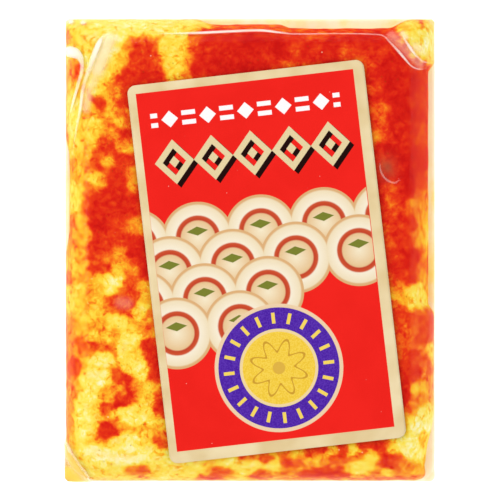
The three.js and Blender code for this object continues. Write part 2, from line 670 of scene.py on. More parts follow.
def outline_turn(corners: tuple[float, ...], fine: Fineness) -> tuple[np.ndarray, np.ndarray, np.ndarray]:
    """Works out one turn round a slab: four corner arcs, and the straight sides between them.

    Args:
        corners: The plan radius of each corner, from the right head corner counter-clockwise.
        fine: The numbers of points.

    Returns:
        For each point its place on a rectangle that spans -1 to 1 both ways, its outward angle, and the
        corner's radius, which changes evenly along a side.
    """
    signs = np.array([[1, 1], [-1, 1], [-1, -1], [1, -1]], float)
    arc = np.linspace(0.0, QUARTER, fine.corner + 1)
    inner, turn, radius = [], [], []
    for quarter in range(4):
        after = (quarter + 1) % 4
        inner.append(np.tile(signs[quarter], (len(arc), 1)))
        turn.append(quarter * QUARTER + arc)
        radius.append(np.full(len(arc), corners[quarter]))
        steps = fine.long_side if quarter % 2 else fine.short_side
        share = np.linspace(0.0, 1.0, steps + 1)[1:-1]
        inner.append(signs[quarter] + share[:, None] * (signs[after] - signs[quarter]))
        turn.append(np.full(len(share), (quarter + 1) * QUARTER))
        radius.append(corners[quarter] + share * (corners[after] - corners[quarter]))
    return np.vstack(inner), np.concatenate(turn), np.concatenate(radius)


def slab_profile(form: SlabForm, gap: float, fine: Fineness) -> np.ndarray:
    """Works out a slab's profile, ring by ring from the middle of the underside to the middle of the top.

    The outline first grows over the underside, then follows a quarter ellipse, an upright band and a
    second quarter ellipse, and shrinks over the top.

    Args:
        form: The slab's sizes.
        gap: How far the skin lies inside the slab.
        fine: The numbers of rings.

    Returns:
        Six rows with a number for each ring: the outline's scale, how far in it lies, its height, the
        sideways and the upward part of its outward direction, and how far down the side it lies.
    """
    foot = form.girth_height - form.girth_wall
    head = form.girth_height + form.girth_wall
    crown = form.height - head
    under = np.linspace(0.0, 1.0, fine.under + 1)[1:-1]
    base = np.linspace(0.0, QUARTER, fine.base + 1)
    wall = foot + (head - foot) * np.linspace(0.0, 1.0, fine.wall + 1)[1:-1]
    roll = np.linspace(0.0, QUARTER, fine.roll + 1)
    outer = np.linspace(1.0, 0.5, fine.top_outer + 1)[1:]
    top = np.concatenate([outer, np.linspace(0.5, 0.0, fine.top_inner + 1)[1:-1]])
    stretches = (
        (under, form.base_roll, gap, 0.0, -1.0, form.height),
        (1.0, form.base_roll * (1 - np.sin(base)), gap + (foot - gap) * (1 - np.cos(base)),
         foot * np.sin(base), -form.base_roll * np.cos(base), form.height),
        (1.0, 0.0, wall, 1.0, 0.0, form.height - wall),
        (1.0, form.top_roll * (1 - np.cos(roll)), head + (crown - gap) * np.sin(roll),
         crown * np.cos(roll), form.top_roll * np.sin(roll), crown * (1 - np.sin(roll))),
        (top, form.top_roll, form.height - gap, 0.0, 1.0, 0.0),
    )
    rings = np.hstack([np.stack(np.broadcast_arrays(*stretch)) for stretch in stretches])
    rings[1] += gap
    return rings


def slab_surface(form: SlabForm, gap: float, fine: Fineness) -> SlabSurface:
    """Carries a slab's profile round its outline.

    A point of an outline is a point of an inner rectangle plus the corner's radius in the outward
    direction, all times the outline's scale. The upper side then rises and falls with the slab's wave.

    Args:
        form: The slab's sizes.
        gap: How far the skin lies inside the slab.
        fine: The numbers of points and rings.

    Returns:
        The surface.
    """
    inner, turn, radius = outline_turn(form.corners, fine)
    scale, inset, height, side, up, beyond = slab_profile(form, gap, fine)
    heading = np.stack([np.cos(turn), np.sin(turn)], axis=1)
    half = np.array([form.width / 2, form.length / 2])
    reach = half - inset[:, None, None] - radius[None, :, None]
    level = scale[:, None, None] * (inner * reach + radius[:, None] * heading)
    waved = smooth_step(height, form.girth_height + form.girth_wall, form.height)[:, None]
    rise = height[:, None] + form.wave(level[..., 0], level[..., 1]) * waved
    size = np.hypot(side, up)
    sideways = (side / size)[:, None, None] * heading
    upward = np.broadcast_to((up / size)[:, None], rise.shape)
    return SlabSurface(np.dstack([level, rise]), np.dstack([sideways, upward]), turn, height, beyond)


# The cheese

@dataclass(frozen=True)
class Pool:
    """A patch where the paprika has soaked in: its middle, its half sizes and how strong it is."""

    x: float
    y: float
    half_x: float
    half_y: float
    strength: float


def pools(*rows: Spot) -> tuple[Pool, ...]:
    """Makes pools from their numbers."""
    return tuple(Pool(*row) for row in rows)


def bells(points: np.ndarray, spots: tuple[Pool, ...]) -> np.ndarray:
    """Gives the strongest of some spots at each point: a spot's strength times exp(-far squared).

    Args:
        points: Points, one a row, of which the first two coordinates count.
        spots: The spots.

    Returns:
        One number for each point.
    """
    found = np.zeros(len(points))
    for spot in spots:
        far = ((points[:, 0] - spot.x) / spot.half_x) ** 2 + ((points[:, 1] - spot.y) / spot.half_y) ** 2
        found = np.maximum(found, spot.strength * np.exp(-far))
    return found


HEAD_POOLS = pools(
    # The weak pools along the head's left end, y 53 to 55, keep the curd pale under a sheen on the film: part
    # pale curd, part painted highlight.
    (-44, 51.4, 0.9, 0.9, 0.64), (-42, 53, 2.4, 1.4, 0.07), (-38.5, 54, 2.4, 1.2, 0.13),
    (-31, 53.4, 2, 1.4, 0.04), (-24, 53.2, 4, 1.2, 0.03), (-20, 54.6, 2, 0.8, 0.12), (-14, 53.6, 2, 1, 0.10),
    (-25, 47, 2, 2, 0.86), (-25, 50, 1.4, 0.8, 0.66), (-22, 45, 1, 1, 0.70), (-22.4, 42, 1.2, 1.2, 0.86),
    (-26, 41, 2, 1, 0.90), (-21.9, 50.6, 0.4, 0.5, 0.70), (-19.5, 49.5, 1.6, 2, 0.20),
    (-19.6, 45.4, 1.2, 2, 0.18), (-13, 51, 0.7, 1.4, 0.56), (-12.6, 43.2, 0.6, 0.8, 0.88),
    (-10, 51, 1.6, 0.8, 0.78), (-9.6, 48.6, 1.8, 1.4, 0.84), (-10, 45.8, 1, 0.9, 0.92),
    (-6, 50, 2, 1.4, 0.82), (-5, 46.6, 3, 2, 0.92), (-3.6, 43.6, 3, 1.4, 1.0), (0.6, 49.4, 1.3, 1.5, 1.0),
    (1, 51.8, 3, 0.5, 0.80), (3, 47, 1.6, 2, 0.84), (2.4, 44.2, 1.2, 1, 0.96), (7.2, 49, 1.6, 1, 0.95),
    (8, 47, 1.8, 1.6, 0.98), (9.2, 44.8, 1.2, 0.6, 0.62), (11, 47.4, 0.9, 2, 0.70),
    (10.6, 50.4, 1.2, 0.8, 0.80), (13.6, 48, 1.2, 1, 0.92), (17.5, 48.6, 1.6, 0.8, 0.86),
    (16.6, 46.6, 1.6, 1, 0.84), (19.8, 47.4, 1.3, 1.6, 0.97), (16, 51.4, 1.6, 0.8, 0.60),
    (23, 47.6, 1.3, 1.1, 0.68), (3, 53.5, 5, 0.6, 0.56), (24, 52.6, 4, 0.5, 0.64), (26, 50, 2, 1.4, 0.84),
    (29.6, 50.4, 1.6, 0.9, 0.92), (31, 48.6, 1.6, 1.4, 0.84), (35, 50.6, 1.4, 1.2, 0.76),
    (37, 47.4, 1.2, 1.2, 0.82), (39, 45.2, 1.4, 1, 0.82), (36.6, 51.6, 0.8, 1.2, 0.15),
    (38.6, 52.4, 1.4, 1.2, 0.20), (41.6, 51, 1.6, 1.2, 0.16), (40.3, 48.3, 1.4, 1.4, 0.08),
    (42.6, 46.4, 1.4, 1, 0.24), (43.4, 53.6, 1.2, 0.8, 0.26), (41.3, 53.5, 0.35, 0.6, 0.68),
)

RIGHT_POOLS = pools(
    (29.2, 42.8, 0.5, 0.5, 0.82), (30.5, 40.4, 1, 0.7, 0.84), (30.4, 38.4, 1, 1, 0.64),
    (29.8, 36, 1.1, 0.9, 0.96), (31.4, 34, 1.4, 1, 0.62), (31.4, 30.2, 1, 1.2, 0.62),
    (29.8, 31.2, 0.7, 0.8, 0.80), (34.6, 46, 1.4, 1.2, 0.92), (37, 42, 3, 2.4, 0.95), (35, 38, 2.4, 3, 0.93),
    (38.2, 33.6, 2.4, 2.4, 0.92), (35.8, 31, 1.4, 2.4, 0.96), (41.8, 40.6, 1, 2, 0.82),
    (41.6, 34.4, 1.2, 2.6, 0.84), (37.8, 27.6, 2.2, 1.6, 0.84), (41.4, 27, 1.2, 1.8, 0.74),
    (34, 24, 1, 0.8, 1.0), (39.6, 22.5, 2, 2.4, 0.97), (31, 22, 0.8, 1.4, 0.84), (33.5, 19.5, 2, 2.2, 0.92),
    (37.2, 15.8, 2.2, 1.7, 1.0), (41.6, 16.4, 1.2, 1.2, 0.76), (41.4, 13.5, 1.2, 1.4, 0.64),
    (35.8, 12.6, 1, 1.2, 0.84), (33.6, 14.8, 0.8, 1, 0.60), (34, 11, 1, 1.3, 0.64),
    (31.6, 14, 0.5, 1.8, 0.90), (40, 9.2, 1.5, 1.4, 0.56), (37.6, 7.2, 1.4, 1, 0.95), (32.5, 8, 0.7, 1, 0.86),
    (34.4, 5.4, 1.8, 1.1, 0.74), (37.2, 3, 1.9, 1.5, 0.84), (33.4, 1, 0.9, 1.4, 0.72),
    (40.9, 2.8, 1.3, 1.1, 0.48), (42.6, 2.6, 0.7, 1.6, 0.26), (41.6, 0.6, 1.4, 0.6, 0.70),
    (38.2, -1, 1.3, 0.8, 0.98), (34.4, -1.4, 1.3, 1.3, 0.82), (35.4, -3.7, 2.2, 1.4, 0.88),
    (43, -4.4, 0.5, 1.6, 0.74), (34.6, -6.4, 1, 1.1, 0.76), (38.8, -7.2, 1, 0.7, 0.82),
    (34.6, -9.4, 0.8, 1.1, 0.62), (42.9, -9.8, 0.7, 1.4, 0.60), (39.6, -10.6, 1.6, 1.6, 0.22),
    (36.6, -11.5, 1.6, 1.1, 0.36), (34.6, -12.9, 0.8, 0.7, 0.78), (35.8, -14.2, 0.8, 0.7, 0.80),
    (40.6, -16.8, 1.7, 0.9, 0.78), (43, -16.6, 0.9, 1.1, 0.82), (35.4, -17.2, 0.6, 1.2, 0.78),
    (38.4, -19.2, 1, 0.7, 0.56), (41.5, -19.8, 1.8, 1.3, 0.82), (36.4, -21.4, 1.3, 0.9, 0.70),
    (36.8, -23.8, 1.1, 1.3, 0.70), (43.5, -25.4, 0.6, 1.2, 0.32), (38.6, -25.6, 1.4, 0.9, 0.80),
    (42, -27, 0.9, 1.4, 0.74), (38.8, -28.8, 2.2, 1.3, 0.88), (37, -31, 0.8, 1.8, 0.84),
    (39, -31.4, 0.9, 0.7, 0.80), (40.8, -32.4, 1.1, 1.3, 0.34), (42.8, -32.4, 0.8, 1.3, 0.64),
    (37.2, -35, 0.5, 0.9, 1.0), (41.6, -35.6, 1.3, 0.9, 0.66), (38.6, -38.2, 0.6, 0.6, 0.76),
    (42.8, -38, 1, 1.3, 0.28), (38.4, -39.8, 0.8, 0.4, 0.62), (42.5, -40.8, 1.3, 1.3, 0.20),
    (39.6, -41.6, 1.5, 1.3, 0.08), (37.5, -41.8, 0.4, 1.4, 0.54), (39.4, -44.4, 1.4, 1, 0.10),
    (41.2, -45.6, 0.7, 1, 0.66), (42.8, -46.8, 0.6, 1, 0.30), (37.4, -47.6, 1.3, 1, 0.05),
    (39.4, -47.4, 1.1, 1.1, 0.18),
)

FOOT_POOLS = pools(
    (-33, -53.6, 1.6, 0.9, 0.32), (-33, -51.2, 1.4, 0.6, 0.14), (-27.2, -52.8, 1.2, 0.4, 0.72),
    (-21, -49.2, 1.4, 0.9, 0.24), (-20, -52.4, 1.4, 1, 0.26), (-14.4, -52.8, 1.3, 0.7, 0.30),
    (-6.2, -53, 1.2, 0.45, 0.76), (-9.7, -54.5, 1.2, 0.4, 0.78), (-2.5, -51.6, 1.7, 0.9, 0.22),
    (-1, -49.9, 0.8, 0.4, 0.78), (4, -50.1, 0.7, 0.4, 0.78), (6.2, -51.8, 1, 0.9, 0.22),
    (3.2, -53.7, 1.1, 0.4, 0.80), (9, -50.6, 1.1, 1, 0.82), (7.8, -53.2, 1.5, 0.6, 0.62),
    (11.5, -49.2, 1.5, 0.7, 0.42), (14, -48.5, 0.9, 0.4, 0.76), (17.8, -47.8, 1.1, 0.3, 0.82),
    (17, -53.6, 2.2, 0.5, 0.84), (20.6, -53.4, 1.5, 0.6, 0.80), (21.4, -50.4, 1.1, 0.9, 0.66),
    (22.2, -48.4, 0.6, 1.2, 0.84), (20, -47.9, 0.9, 0.5, 0.36), (24.6, -48, 0.8, 0.8, 0.26),
    (28, -46.8, 1.4, 0.4, 0.86), (31.2, -46.4, 0.9, 0.4, 0.84), (25.8, -49.7, 1, 0.5, 0.70),
    (31.9, -48, 0.6, 0.6, 0.80), (34, -47.5, 1.2, 0.8, 0.32), (28.4, -50.6, 1.2, 0.7, 0.26),
    (33.9, -50.8, 1.5, 1, 0.88), (35.4, -49, 0.6, 0.5, 0.78), (25.4, -52, 1.3, 0.8, 0.20),
    (30.8, -53.2, 0.6, 1.1, 0.70), (32.8, -53.2, 1.2, 0.6, 0.32), (37, -52.4, 1.7, 1.1, 0.56),
    (36, -54.7, 4, 0.35, 0.70),
)

LEFT_POOLS = pools(
    (-39.8, 49.8, 2.4, 2.2, 0.22), (-34, 49, 2.4, 2.2, 0.05), (-36.4, 45.4, 1.6, 3, 0.10),
    (-32.4, 45.2, 1.3, 1.1, 0.38), (-30.3, 47.2, 0.8, 1.4, 0.50), (-29, 49, 1, 1, 0.62),
    (-27.5, 43, 1.4, 1.6, 0.82), (-30.2, 39.8, 1.2, 0.9, 0.80), (-37.6, 41.4, 1.2, 1.2, 0.20),
    (-35.5, 38.6, 1.2, 1, 0.26), (-34, 38.5, 0.9, 0.9, 0.60), (-32.5, 37.5, 1, 0.9, 0.42),
    (-35.4, 35.4, 0.8, 0.8, 0.86), (-31, 35.9, 1.2, 0.9, 0.86), (-33.2, 34.9, 0.8, 0.7, 0.36),
    (-41, 43.3, 0.5, 0.7, 0.78), (-37.8, 28, 1, 1.4, 0.26), (-37.8, 25.4, 0.9, 1, 0.28),
    (-30.2, 29.8, 0.8, 0.7, 0.38), (-30.4, 27.9, 1.2, 0.8, 0.86), (-29.2, 27.3, 0.6, 0.9, 1.0),
    (-29.3, 30.8, 0.5, 0.6, 0.74), (-42.4, 33, 0.9, 1.6, 0.12), (-42.9, 29.5, 0.7, 1.6, 0.08),
    (-44, 27.5, 0.4, 1.6, 0.54), (-42.4, 24.4, 1.2, 0.9, 0.22), (-33, 27.6, 1, 0.8, 0.50),
    (-35.4, 25.8, 1.3, 0.9, 0.84), (-36.6, 23.6, 0.7, 0.8, 0.72), (-29.5, 25.2, 1, 1, 0.36),
    (-33.6, 21.2, 1.2, 0.6, 0.24), (-37.4, 20.6, 1, 1.2, 0.88), (-41.6, 18, 1.2, 1, 0.42),
    (-39.3, 21.4, 0.9, 1.6, 0.36), (-36.9, 17, 1.6, 1.1, 0.20), (-34.4, 18.4, 0.9, 1.2, 0.80),
    (-31.6, 21.6, 1.4, 1.1, 0.84), (-29, 21.2, 0.9, 1.4, 0.84), (-28.4, 18.2, 0.9, 1.2, 0.42),
    (-28.8, 15.8, 0.8, 1.2, 0.40), (-32, 17, 1.6, 1.6, 0.92), (-31, 14, 1.8, 2, 0.92),
    (-38.2, 14.6, 1.4, 1, 0.64), (-42, 13.6, 1.2, 2.4, 0.06), (-36, 10, 3, 2.4, 0.88),
    (-31.5, 9.5, 2.4, 2, 0.88), (-37.4, 6.6, 1, 1.2, 0.98), (-31.4, 5, 1.6, 2, 0.82),
    (-35.6, 0.4, 1.4, 1.8, 0.84), (-28.3, 5.6, 1.5, 1.4, 0.46), (-31.3, -1.8, 1.2, 1.6, 0.46),
    (-30.3, -4.6, 1.8, 0.8, 0.28), (-27.6, 2, 1.4, 0.8, 0.90), (-27.8, -0.8, 1.2, 0.6, 0.98),
    (-25.6, -2, 0.8, 2.2, 0.96), (-27.2, -2.8, 0.9, 0.9, 0.80), (-28.4, -5, 1, 0.9, 0.66),
    (-34, -1.4, 1, 1.2, 0.68), (-35, -4.2, 1.5, 0.9, 0.84), (-33.2, -8, 1.6, 1.2, 0.02),
    (-29, -8.3, 0.7, 0.5, 0.74), (-25.2, -10.4, 1, 1.2, 0.40), (-29.2, -10.2, 2, 0.8, 0.76),
    (-39.6, 5, 1, 2.2, 0.32), (-42, 7.4, 0.5, 0.8, 0.56), (-41.2, 9.4, 0.8, 1.4, 0.10),
    (-42.4, -3.8, 1.4, 1.2, 0.24), (-38.5, -10.4, 0.7, 2, 0.56), (-43.4, -6.6, 0.6, 0.9, 0.62),
    (-42, -10.4, 1.2, 1.2, 0.20), (-36.3, -8, 0.8, 1.4, 0.46), (-43, -12.2, 0.7, 1, 0.20),
    (-40.5, -14, 0.8, 1.2, 0.28), (-37.1, -14, 0.8, 1.8, 0.30), (-35.5, -18.2, 0.9, 1.4, 0.52),
    (-36.9, -21, 0.8, 0.8, 0.24), (-34, -20.4, 0.8, 1.2, 0.28), (-31.4, -12.8, 1.6, 1.3, 0.72),
    (-29, -12.6, 1.2, 1.2, 0.78), (-32.4, -17.2, 1.1, 1.3, 0.16), (-32.2, -20, 0.5, 1.4, 0.54),
    (-26.4, -14.2, 1, 0.9, 0.18), (-24, -16.8, 0.8, 1.4, 0.60), (-29.4, -22, 1.8, 0.9, 0.14),
    (-30.3, -24.2, 1, 1, 0.14), (-24.9, -23.4, 0.9, 0.9, 0.90), (-27.2, -24, 1, 0.7, 0.36),
    (-38.5, -24, 1, 0.8, 0.68), (-35.2, -23.2, 1.5, 0.8, 0.72), (-32.6, -24, 0.6, 1.2, 0.68),
    (-35.4, -25.6, 1.9, 0.8, 0.08), (-42, -28.5, 0.8, 1, 0.74), (-23, -27.6, 0.9, 1.8, 0.88),
    (-28, -28.4, 1.3, 1, 0.22), (-26.2, -28.6, 1, 1, 0.10), (-23.4, -33.6, 0.9, 1, 0.28),
    (-31.6, -30, 0.8, 0.7, 0.86), (-29.5, -31.8, 0.9, 0.9, 0.96), (-29.2, -33.6, 0.6, 0.9, 0.92),
    (-30.6, -33, 0.5, 1, 0.50), (-30.9, -35.3, 1, 0.6, 0.84), (-35.4, -34.3, 0.6, 0.7, 0.64),
    (-38.6, -31, 1.2, 1, 0.14), (-38, -33.6, 1.4, 1.4, 0.08), (-35.3, -30.4, 1.4, 0.8, 0.10),
    (-42.3, -33, 1, 1.8, 0.44), (-21.8, -34.8, 0.7, 0.9, 0.76), (-27.8, -32.6, 0.8, 0.8, 0.40),
    (-43.4, -38, 0.8, 5, 0.48), (-43.6, -50, 1.4, 2.4, 0.24), (-40.4, -38, 0.9, 2, 0.10),
    (-39.6, -43, 1, 2.4, 0.12), (-37.6, -40, 0.9, 2.2, 0.24), (-32.4, -37, 1.2, 0.5, 0.92),
    (-33.6, -35, 0.9, 0.8, 0.38), (-34.8, -38.8, 0.8, 0.5, 0.72), (-34.3, -44, 1, 1, 0.94),
    (-31.2, -38.6, 1.6, 0.5, 0.16), (-25.4, -38.6, 1.2, 0.9, 0.18), (-26.4, -40.6, 1.4, 0.9, 0.14),
    (-21.2, -38.4, 0.9, 0.9, 0.93), (-22, -41.5, 1, 1.2, 0.34), (-26.4, -42.4, 1.4, 0.5, 0.56),
    (-21.2, -43.6, 1.1, 0.5, 0.60), (-22.3, -45.8, 0.8, 0.6, 0.84), (-20.4, -46.8, 1, 0.4, 0.78),
    # The weak pools near the foot's left end, about y -46 to -50, keep the curd pale under a highlight on the
    # film: part pale curd, part painted highlight.
    (-29.6, -46.6, 1.3, 1, 0.10), (-24.6, -45.4, 0.9, 0.9, 0.22), (-33, -46.6, 1.4, 0.8, 0.22),
    (-37, -46.2, 1.2, 0.5, 0.46), (-37.6, -48.6, 1.4, 1.2, 0.04), (-33.4, -49.6, 1.8, 0.9, 0.10),
    (-29, -49.8, 1.6, 0.7, 0.14), (-24.6, -48.8, 1.5, 0.7, 0.12), (-41.6, -49, 0.7, 1.2, 0.26),
    (-39.6, -52, 0.8, 1, 0.22),
)


DULL_PATCH = pools((32.8, 19.6, 2.0, 2.8, 0.62))

CURD_TONES = (
    (0.00, lit(255, 248, 196)),
    (0.08, lit(255, 243, 158)),
    (0.18, lit(255, 232, 98)),
    (0.32, lit(255, 214, 62)),
    (0.44, lit(254, 182, 42)),
    (0.55, lit(252, 142, 34)),
    (0.65, lit(246, 100, 28)),
    (0.75, lit(236, 62, 24)),
    (0.87, lit(222, 36, 22)),
    (1.00, lit(204, 22, 18)),
)


@dataclass(frozen=True)
class PaprikaCurd:
    """The cheese's finish: yellow curd, soaked orange to deep red by paprika, wet and slightly grained.

    Each size is how wide a feature is, in millimetres. Each share is how much it adds to the strength, or
    to the colour for specks and for the bubbles' painted glints. The warp shifts the noise, so that no
    feature is too round.
    """

    name: str = "paprika_curd"
    roughness: float = 0.42
    warp_size: float = 3.0
    warp_reach: float = 1.2
    drift: float = 0.6
    painted_share: float = 0.94
    plain_share: float = 0.005
    curd_size: float = 2.6
    curd_share: float = 0.28
    crumb_size: float = 1.2
    crumb_share: float = 0.34
    cell_size: float = 2.2
    cell_share: float = 0.11
    grain_size: float = 0.6
    grain_share: float = 0.08
    groove_share: float = 0.08
    patch_size: float = 5.5
    fleck_size: float = 1.5
    fleck_share: float = 0.26
    speck_size: float = 1.6
    speck_share: float = 0.45
    swarm_size: float = 5.0
    dull_size: float = 1.6
    bubble_glint_size: float = 4.6
    bubble_glint_share: float = 0.6
    relief: float = 0.22

    def make(self) -> bpy.types.Material:
        """Builds the material: a ramp over the painted strength made uneven, then cream, specks and the like.

        Returns:
            The material.
        """
        material, tree = new_material(self.name)
        place = tree.place()
        bent = tree.warped(place, self.warp_size, self.warp_reach)
        strength = tree.attribute("paprika")
        curd = tree.noise(bent, self.curd_size, 1.0)
        crumb = tree.noise(bent, self.crumb_size, 2.0, self.drift) - 0.5
        grain = tree.noise(place, self.grain_size, 0.0) - 0.5
        cell = tree.cells(bent, self.cell_size).ranged(0.1, 0.75, -0.5, 0.5)
        patch = tree.noise(place, self.patch_size, 1.0).ranged(0.42, 0.6)
        groove = tree.cells(bent, self.curd_size, "DISTANCE_TO_EDGE").ranged(0.16, 0.0) * patch
        uneven = (curd - 0.5) * self.curd_share + crumb * self.crumb_share + cell * self.cell_share
        uneven = uneven + grain * self.grain_share + groove * self.groove_share
        fleck = tree.noise(bent, self.fleck_size, 2.0, self.drift).ranged(0.54, 0.72)
        fleck = fleck * strength.ranged(0.2, 0.8, self.fleck_share, 0.08)
        loose = strength.ranged(0.5, 0.95, 1.0, 0.75)
        soaked = strength * self.painted_share + loose * uneven + fleck + self.plain_share
        cream = curd.ranged(0.54, 0.70) * soaked.ranged(0.1, 0.42, 0.4, 0.0)
        colour = tree.mix(cream, tree.ramp(soaked, CURD_TONES), lit(255, 248, 205))
        speck = tree.cells(place, self.speck_size).ranged(0.17, 0.08)
        speck = speck * tree.noise(place, self.swarm_size, 2.0).ranged(0.45, 0.55)
        colour = tree.mix(speck * self.speck_share, colour, lit(160, 66, 14))
        dull = tree.attribute("dull") * tree.noise(bent, self.dull_size, 1.0).ranged(0.3, 0.6, 0.6, 1.0)
        colour = tree.mix(dull, colour, lit(166, 92, 62))
        # Painted glints: pale dots where tiny bubbles under the film catch the light, part bubble, part
        # painted highlight.
        bubble_glint = tree.cells(place, self.bubble_glint_size).ranged(0.045, 0.025)
        colour = tree.mix(bubble_glint * self.bubble_glint_share, colour, lit(255, 226, 190))
        height = crumb - groove * 0.3 + grain * 0.4
        tree.finish_plain(colour, self.roughness, 0.0, tree.bump(height, self.relief, 0.5))
        return material


@dataclass(frozen=True)
class Dent:
    """A band along one side where the cheese stands back from the film.

    Attributes:
        facing: The side's outward direction in plan.
        rise: The two places along the side between which the band deepens.
        fall: The two places between which it ends.
        depth: How far back the cheese stands.
    """

    facing: tuple[int, int]
    rise: tuple[float, float]
    fall: tuple[float, float]
    depth: float


DENTS = (
    Dent((1, 0), (-15.5, -12.5), (43.0, 45.5), 1.35),
    Dent((1, 0), (-61.0, -60.0), (-52.0, -38.0), 2.0),
    Dent((-1, 0), (-2.0, 5.0), (22.0, 28.0), 0.8),
    Dent((0, 1), (-13.0, -9.0), (33.0, 39.0), 1.2),
    Dent((0, 1), (7.0, 10.0), (33.0, 39.0), 0.9),
)


@dataclass
class CheeseBlock:
    """The cheese in the bag: a little smaller than the bag, with rounder corners and a curdy skin.

    The dents begin and are full where a side faces dent_turn round, and where its skin rises as steeply as
    dent_slope. A pool's weight falls by fall, and by bleed_fall in the softer mean, which counts by bleed.
    Where no pool reaches, base_strength counts by base_weight. The noise low on the sides has a size, a
    reach and a seed's step for each of its three blots.
    """

    form: SlabForm
    gap: float = 0.35  # how far the skin lies inside the bag
    ears: tuple[float, float, float, float] = (1.0, 1.0, 8.0, 5.4)
    relief: float = 0.22  # how deep the skin's dimples are
    dimple_sizes: tuple[float, float] = (6.0, 2.6)
    seed: int = 11
    dent_turn: tuple[float, float] = (0.55, 0.95)
    dent_slope: tuple[float, float] = (0.98, 0.5)
    base_strength: float = 0.46
    base_weight: float = 0.0004
    warp: float = 0.6  # how far places shift before the pools are read
    warp_size: float = 1.5
    rag: float = 1.3  # how ragged the pools' borders are
    rag_size: float = 1.1
    rag_seed: int = 31
    size_power: float = 0.25  # the power of a pool's area that divides its weight
    fall: float = 1.1
    bleed: float = 0.42
    bleed_fall: float = 0.16
    seen_from: float = 10.0  # the height above which the pools begin to show on a side
    seen_full: float = 14.0  # the height above which nothing else shows
    unfold: float = 0.6  # how far a side unfolds for each millimetre down it
    unfold_from: float = 7.0
    painted_key_shade: float = 0.12  # painted shade: how much more soaked, so darker, the sides that face the key light are made, against that light
    # The key light's level direction, which the painted shade above follows.
    key_heading: tuple[float, float, float] = (-0.77, 0.64, 0.0)
    eye_height: float = 910.5  # the eye's height above the top for which the pools are placed
    hidden: float = 0.44  # the mean strength low on the sides and underneath
    blots: tuple[tuple[float, float, int], ...] = ((13.0, 0.36, 4), (5.0, 0.3, 5), (2.2, 0.26, 8))
    crumbs_from: tuple[float, float] = (0.5, 3.0)

    def side_dent(self, surface: SlabSurface) -> np.ndarray:
        """Adds up the dents on the sides, each a smooth step up and down along its side.

        Args:
            surface: The block's skin.

        Returns:
            How far each point stands back, rings by points.
        """
        total = np.zeros(surface.points.shape[:2])
        for dent in DENTS:
            along = surface.points[..., :2] @ np.abs(dent.facing[::-1])
            band = smooth_step(along, *dent.rise) * (1.0 - smooth_step(along, *dent.fall))
            facing = smooth_step(surface.heading() @ np.array(dent.facing), *self.dent_turn)
            total += dent.depth * band * facing
        return total * smooth_step(surface.outward[..., 2], *self.dent_slope)

    def seen_strength(self, surface: SlabSurface, points: np.ndarray) -> np.ndarray:
        """Works out how strongly each point is soaked, on the top and high on the sides.

        The pools lie on the top as the eye straight above sees them, so a place lower by d counts as
        nearer to the middle by the share d / eye height. Past the turn of the edge the side unfolds
        outwards. Noise shifts the places a little. Each pool pulls the strength towards its own by a
        bell-shaped weight, less for a large pool, and one of four noises raises and lowers that weight,
        so that the borders are ragged. The strength is the weighted mean, part of it the same mean with
        wider, even bells. The sides that face the key light get a little more, as painted shade that
        evens out that light's brightening.

        Args:
            surface: The block's skin.
            points: Its points one a row, with the two middles at the end.

        Returns:
            The strength at each point.
        """
        depth = (self.form.height - surface.points[..., 2:]) / self.eye_height
        past = self.unfold * np.maximum(surface.beyond - self.unfold_from, 0.0)
        unfolded = surface.points[..., :2] * (1.0 - depth) + surface.heading() * past[:, None, None]
        plan = np.vstack([unfolded.reshape(-1, 2), np.zeros((2, 2))])
        space = np.column_stack([plan, points[:, 2]])
        x = plan[:, 0] + self.warp * lattice_noise(space, self.warp_size, self.seed)
        y = plan[:, 1] + self.warp * lattice_noise(space, self.warp_size, self.seed + 1)
        rags = [self.rag * lattice_noise(space, self.rag_size, self.rag_seed + step) for step in range(4)]
        weight = np.full((2, len(plan)), self.base_weight)
        total = weight * self.base_strength
        for number, pool in enumerate((*HEAD_POOLS, *RIGHT_POOLS, *FOOT_POOLS, *LEFT_POOLS)):
            far = ((x - pool.x) / pool.half_x) ** 2 + ((y - pool.y) / pool.half_y) ** 2
            both = np.exp(np.stack([rags[number % 4] - self.fall * far, -self.bleed_fall * far]))
            pull = both / (pool.half_x * pool.half_y) ** self.size_power
            weight += pull
            total += pull * pool.strength
        sharp, bled = total / weight
        # Painted shade: the sides facing the key light are soaked more, so darker and redder, against that
        # light.
        towards = self.painted_key_shade * (surface.outward @ np.array(self.key_heading)).ravel()
        return sharp + self.bleed * (bled - sharp) + np.append(towards, [0.0, 0.0])

    def hidden_strength(self, points: np.ndarray) -> np.ndarray:
        """Works out the strength low on the sides and underneath: a mean and noise of three sizes.

        The finest noise fades out near the underside, whose points lie too far apart for it.

        Args:
            points: The block's points, one a row.

        Returns:
            The strength at each point.
        """
        broad, middle, fine = (
            reach * lattice_noise(points, size, self.seed + step) for size, reach, step in self.blots
        )
        return self.hidden + broad + middle + fine * smooth_step(points[:, 2], *self.crumbs_from)

    def strength(self, surface: SlabSurface, points: np.ndarray) -> np.ndarray:
        """Blends the seen strength into the hidden one down the side.

        Args:
            surface: The block's skin.
            points: Its points one a row, with the two middles at the end.

        Returns:
            The strength at each point, from 0 to 1.
        """
        share = smooth_step(points[:, 2], self.seen_from, self.seen_full)
        hidden = self.hidden_strength(points)
        return np.clip(hidden + share * (self.seen_strength(surface, points) - hidden), 0.0, 1.0)

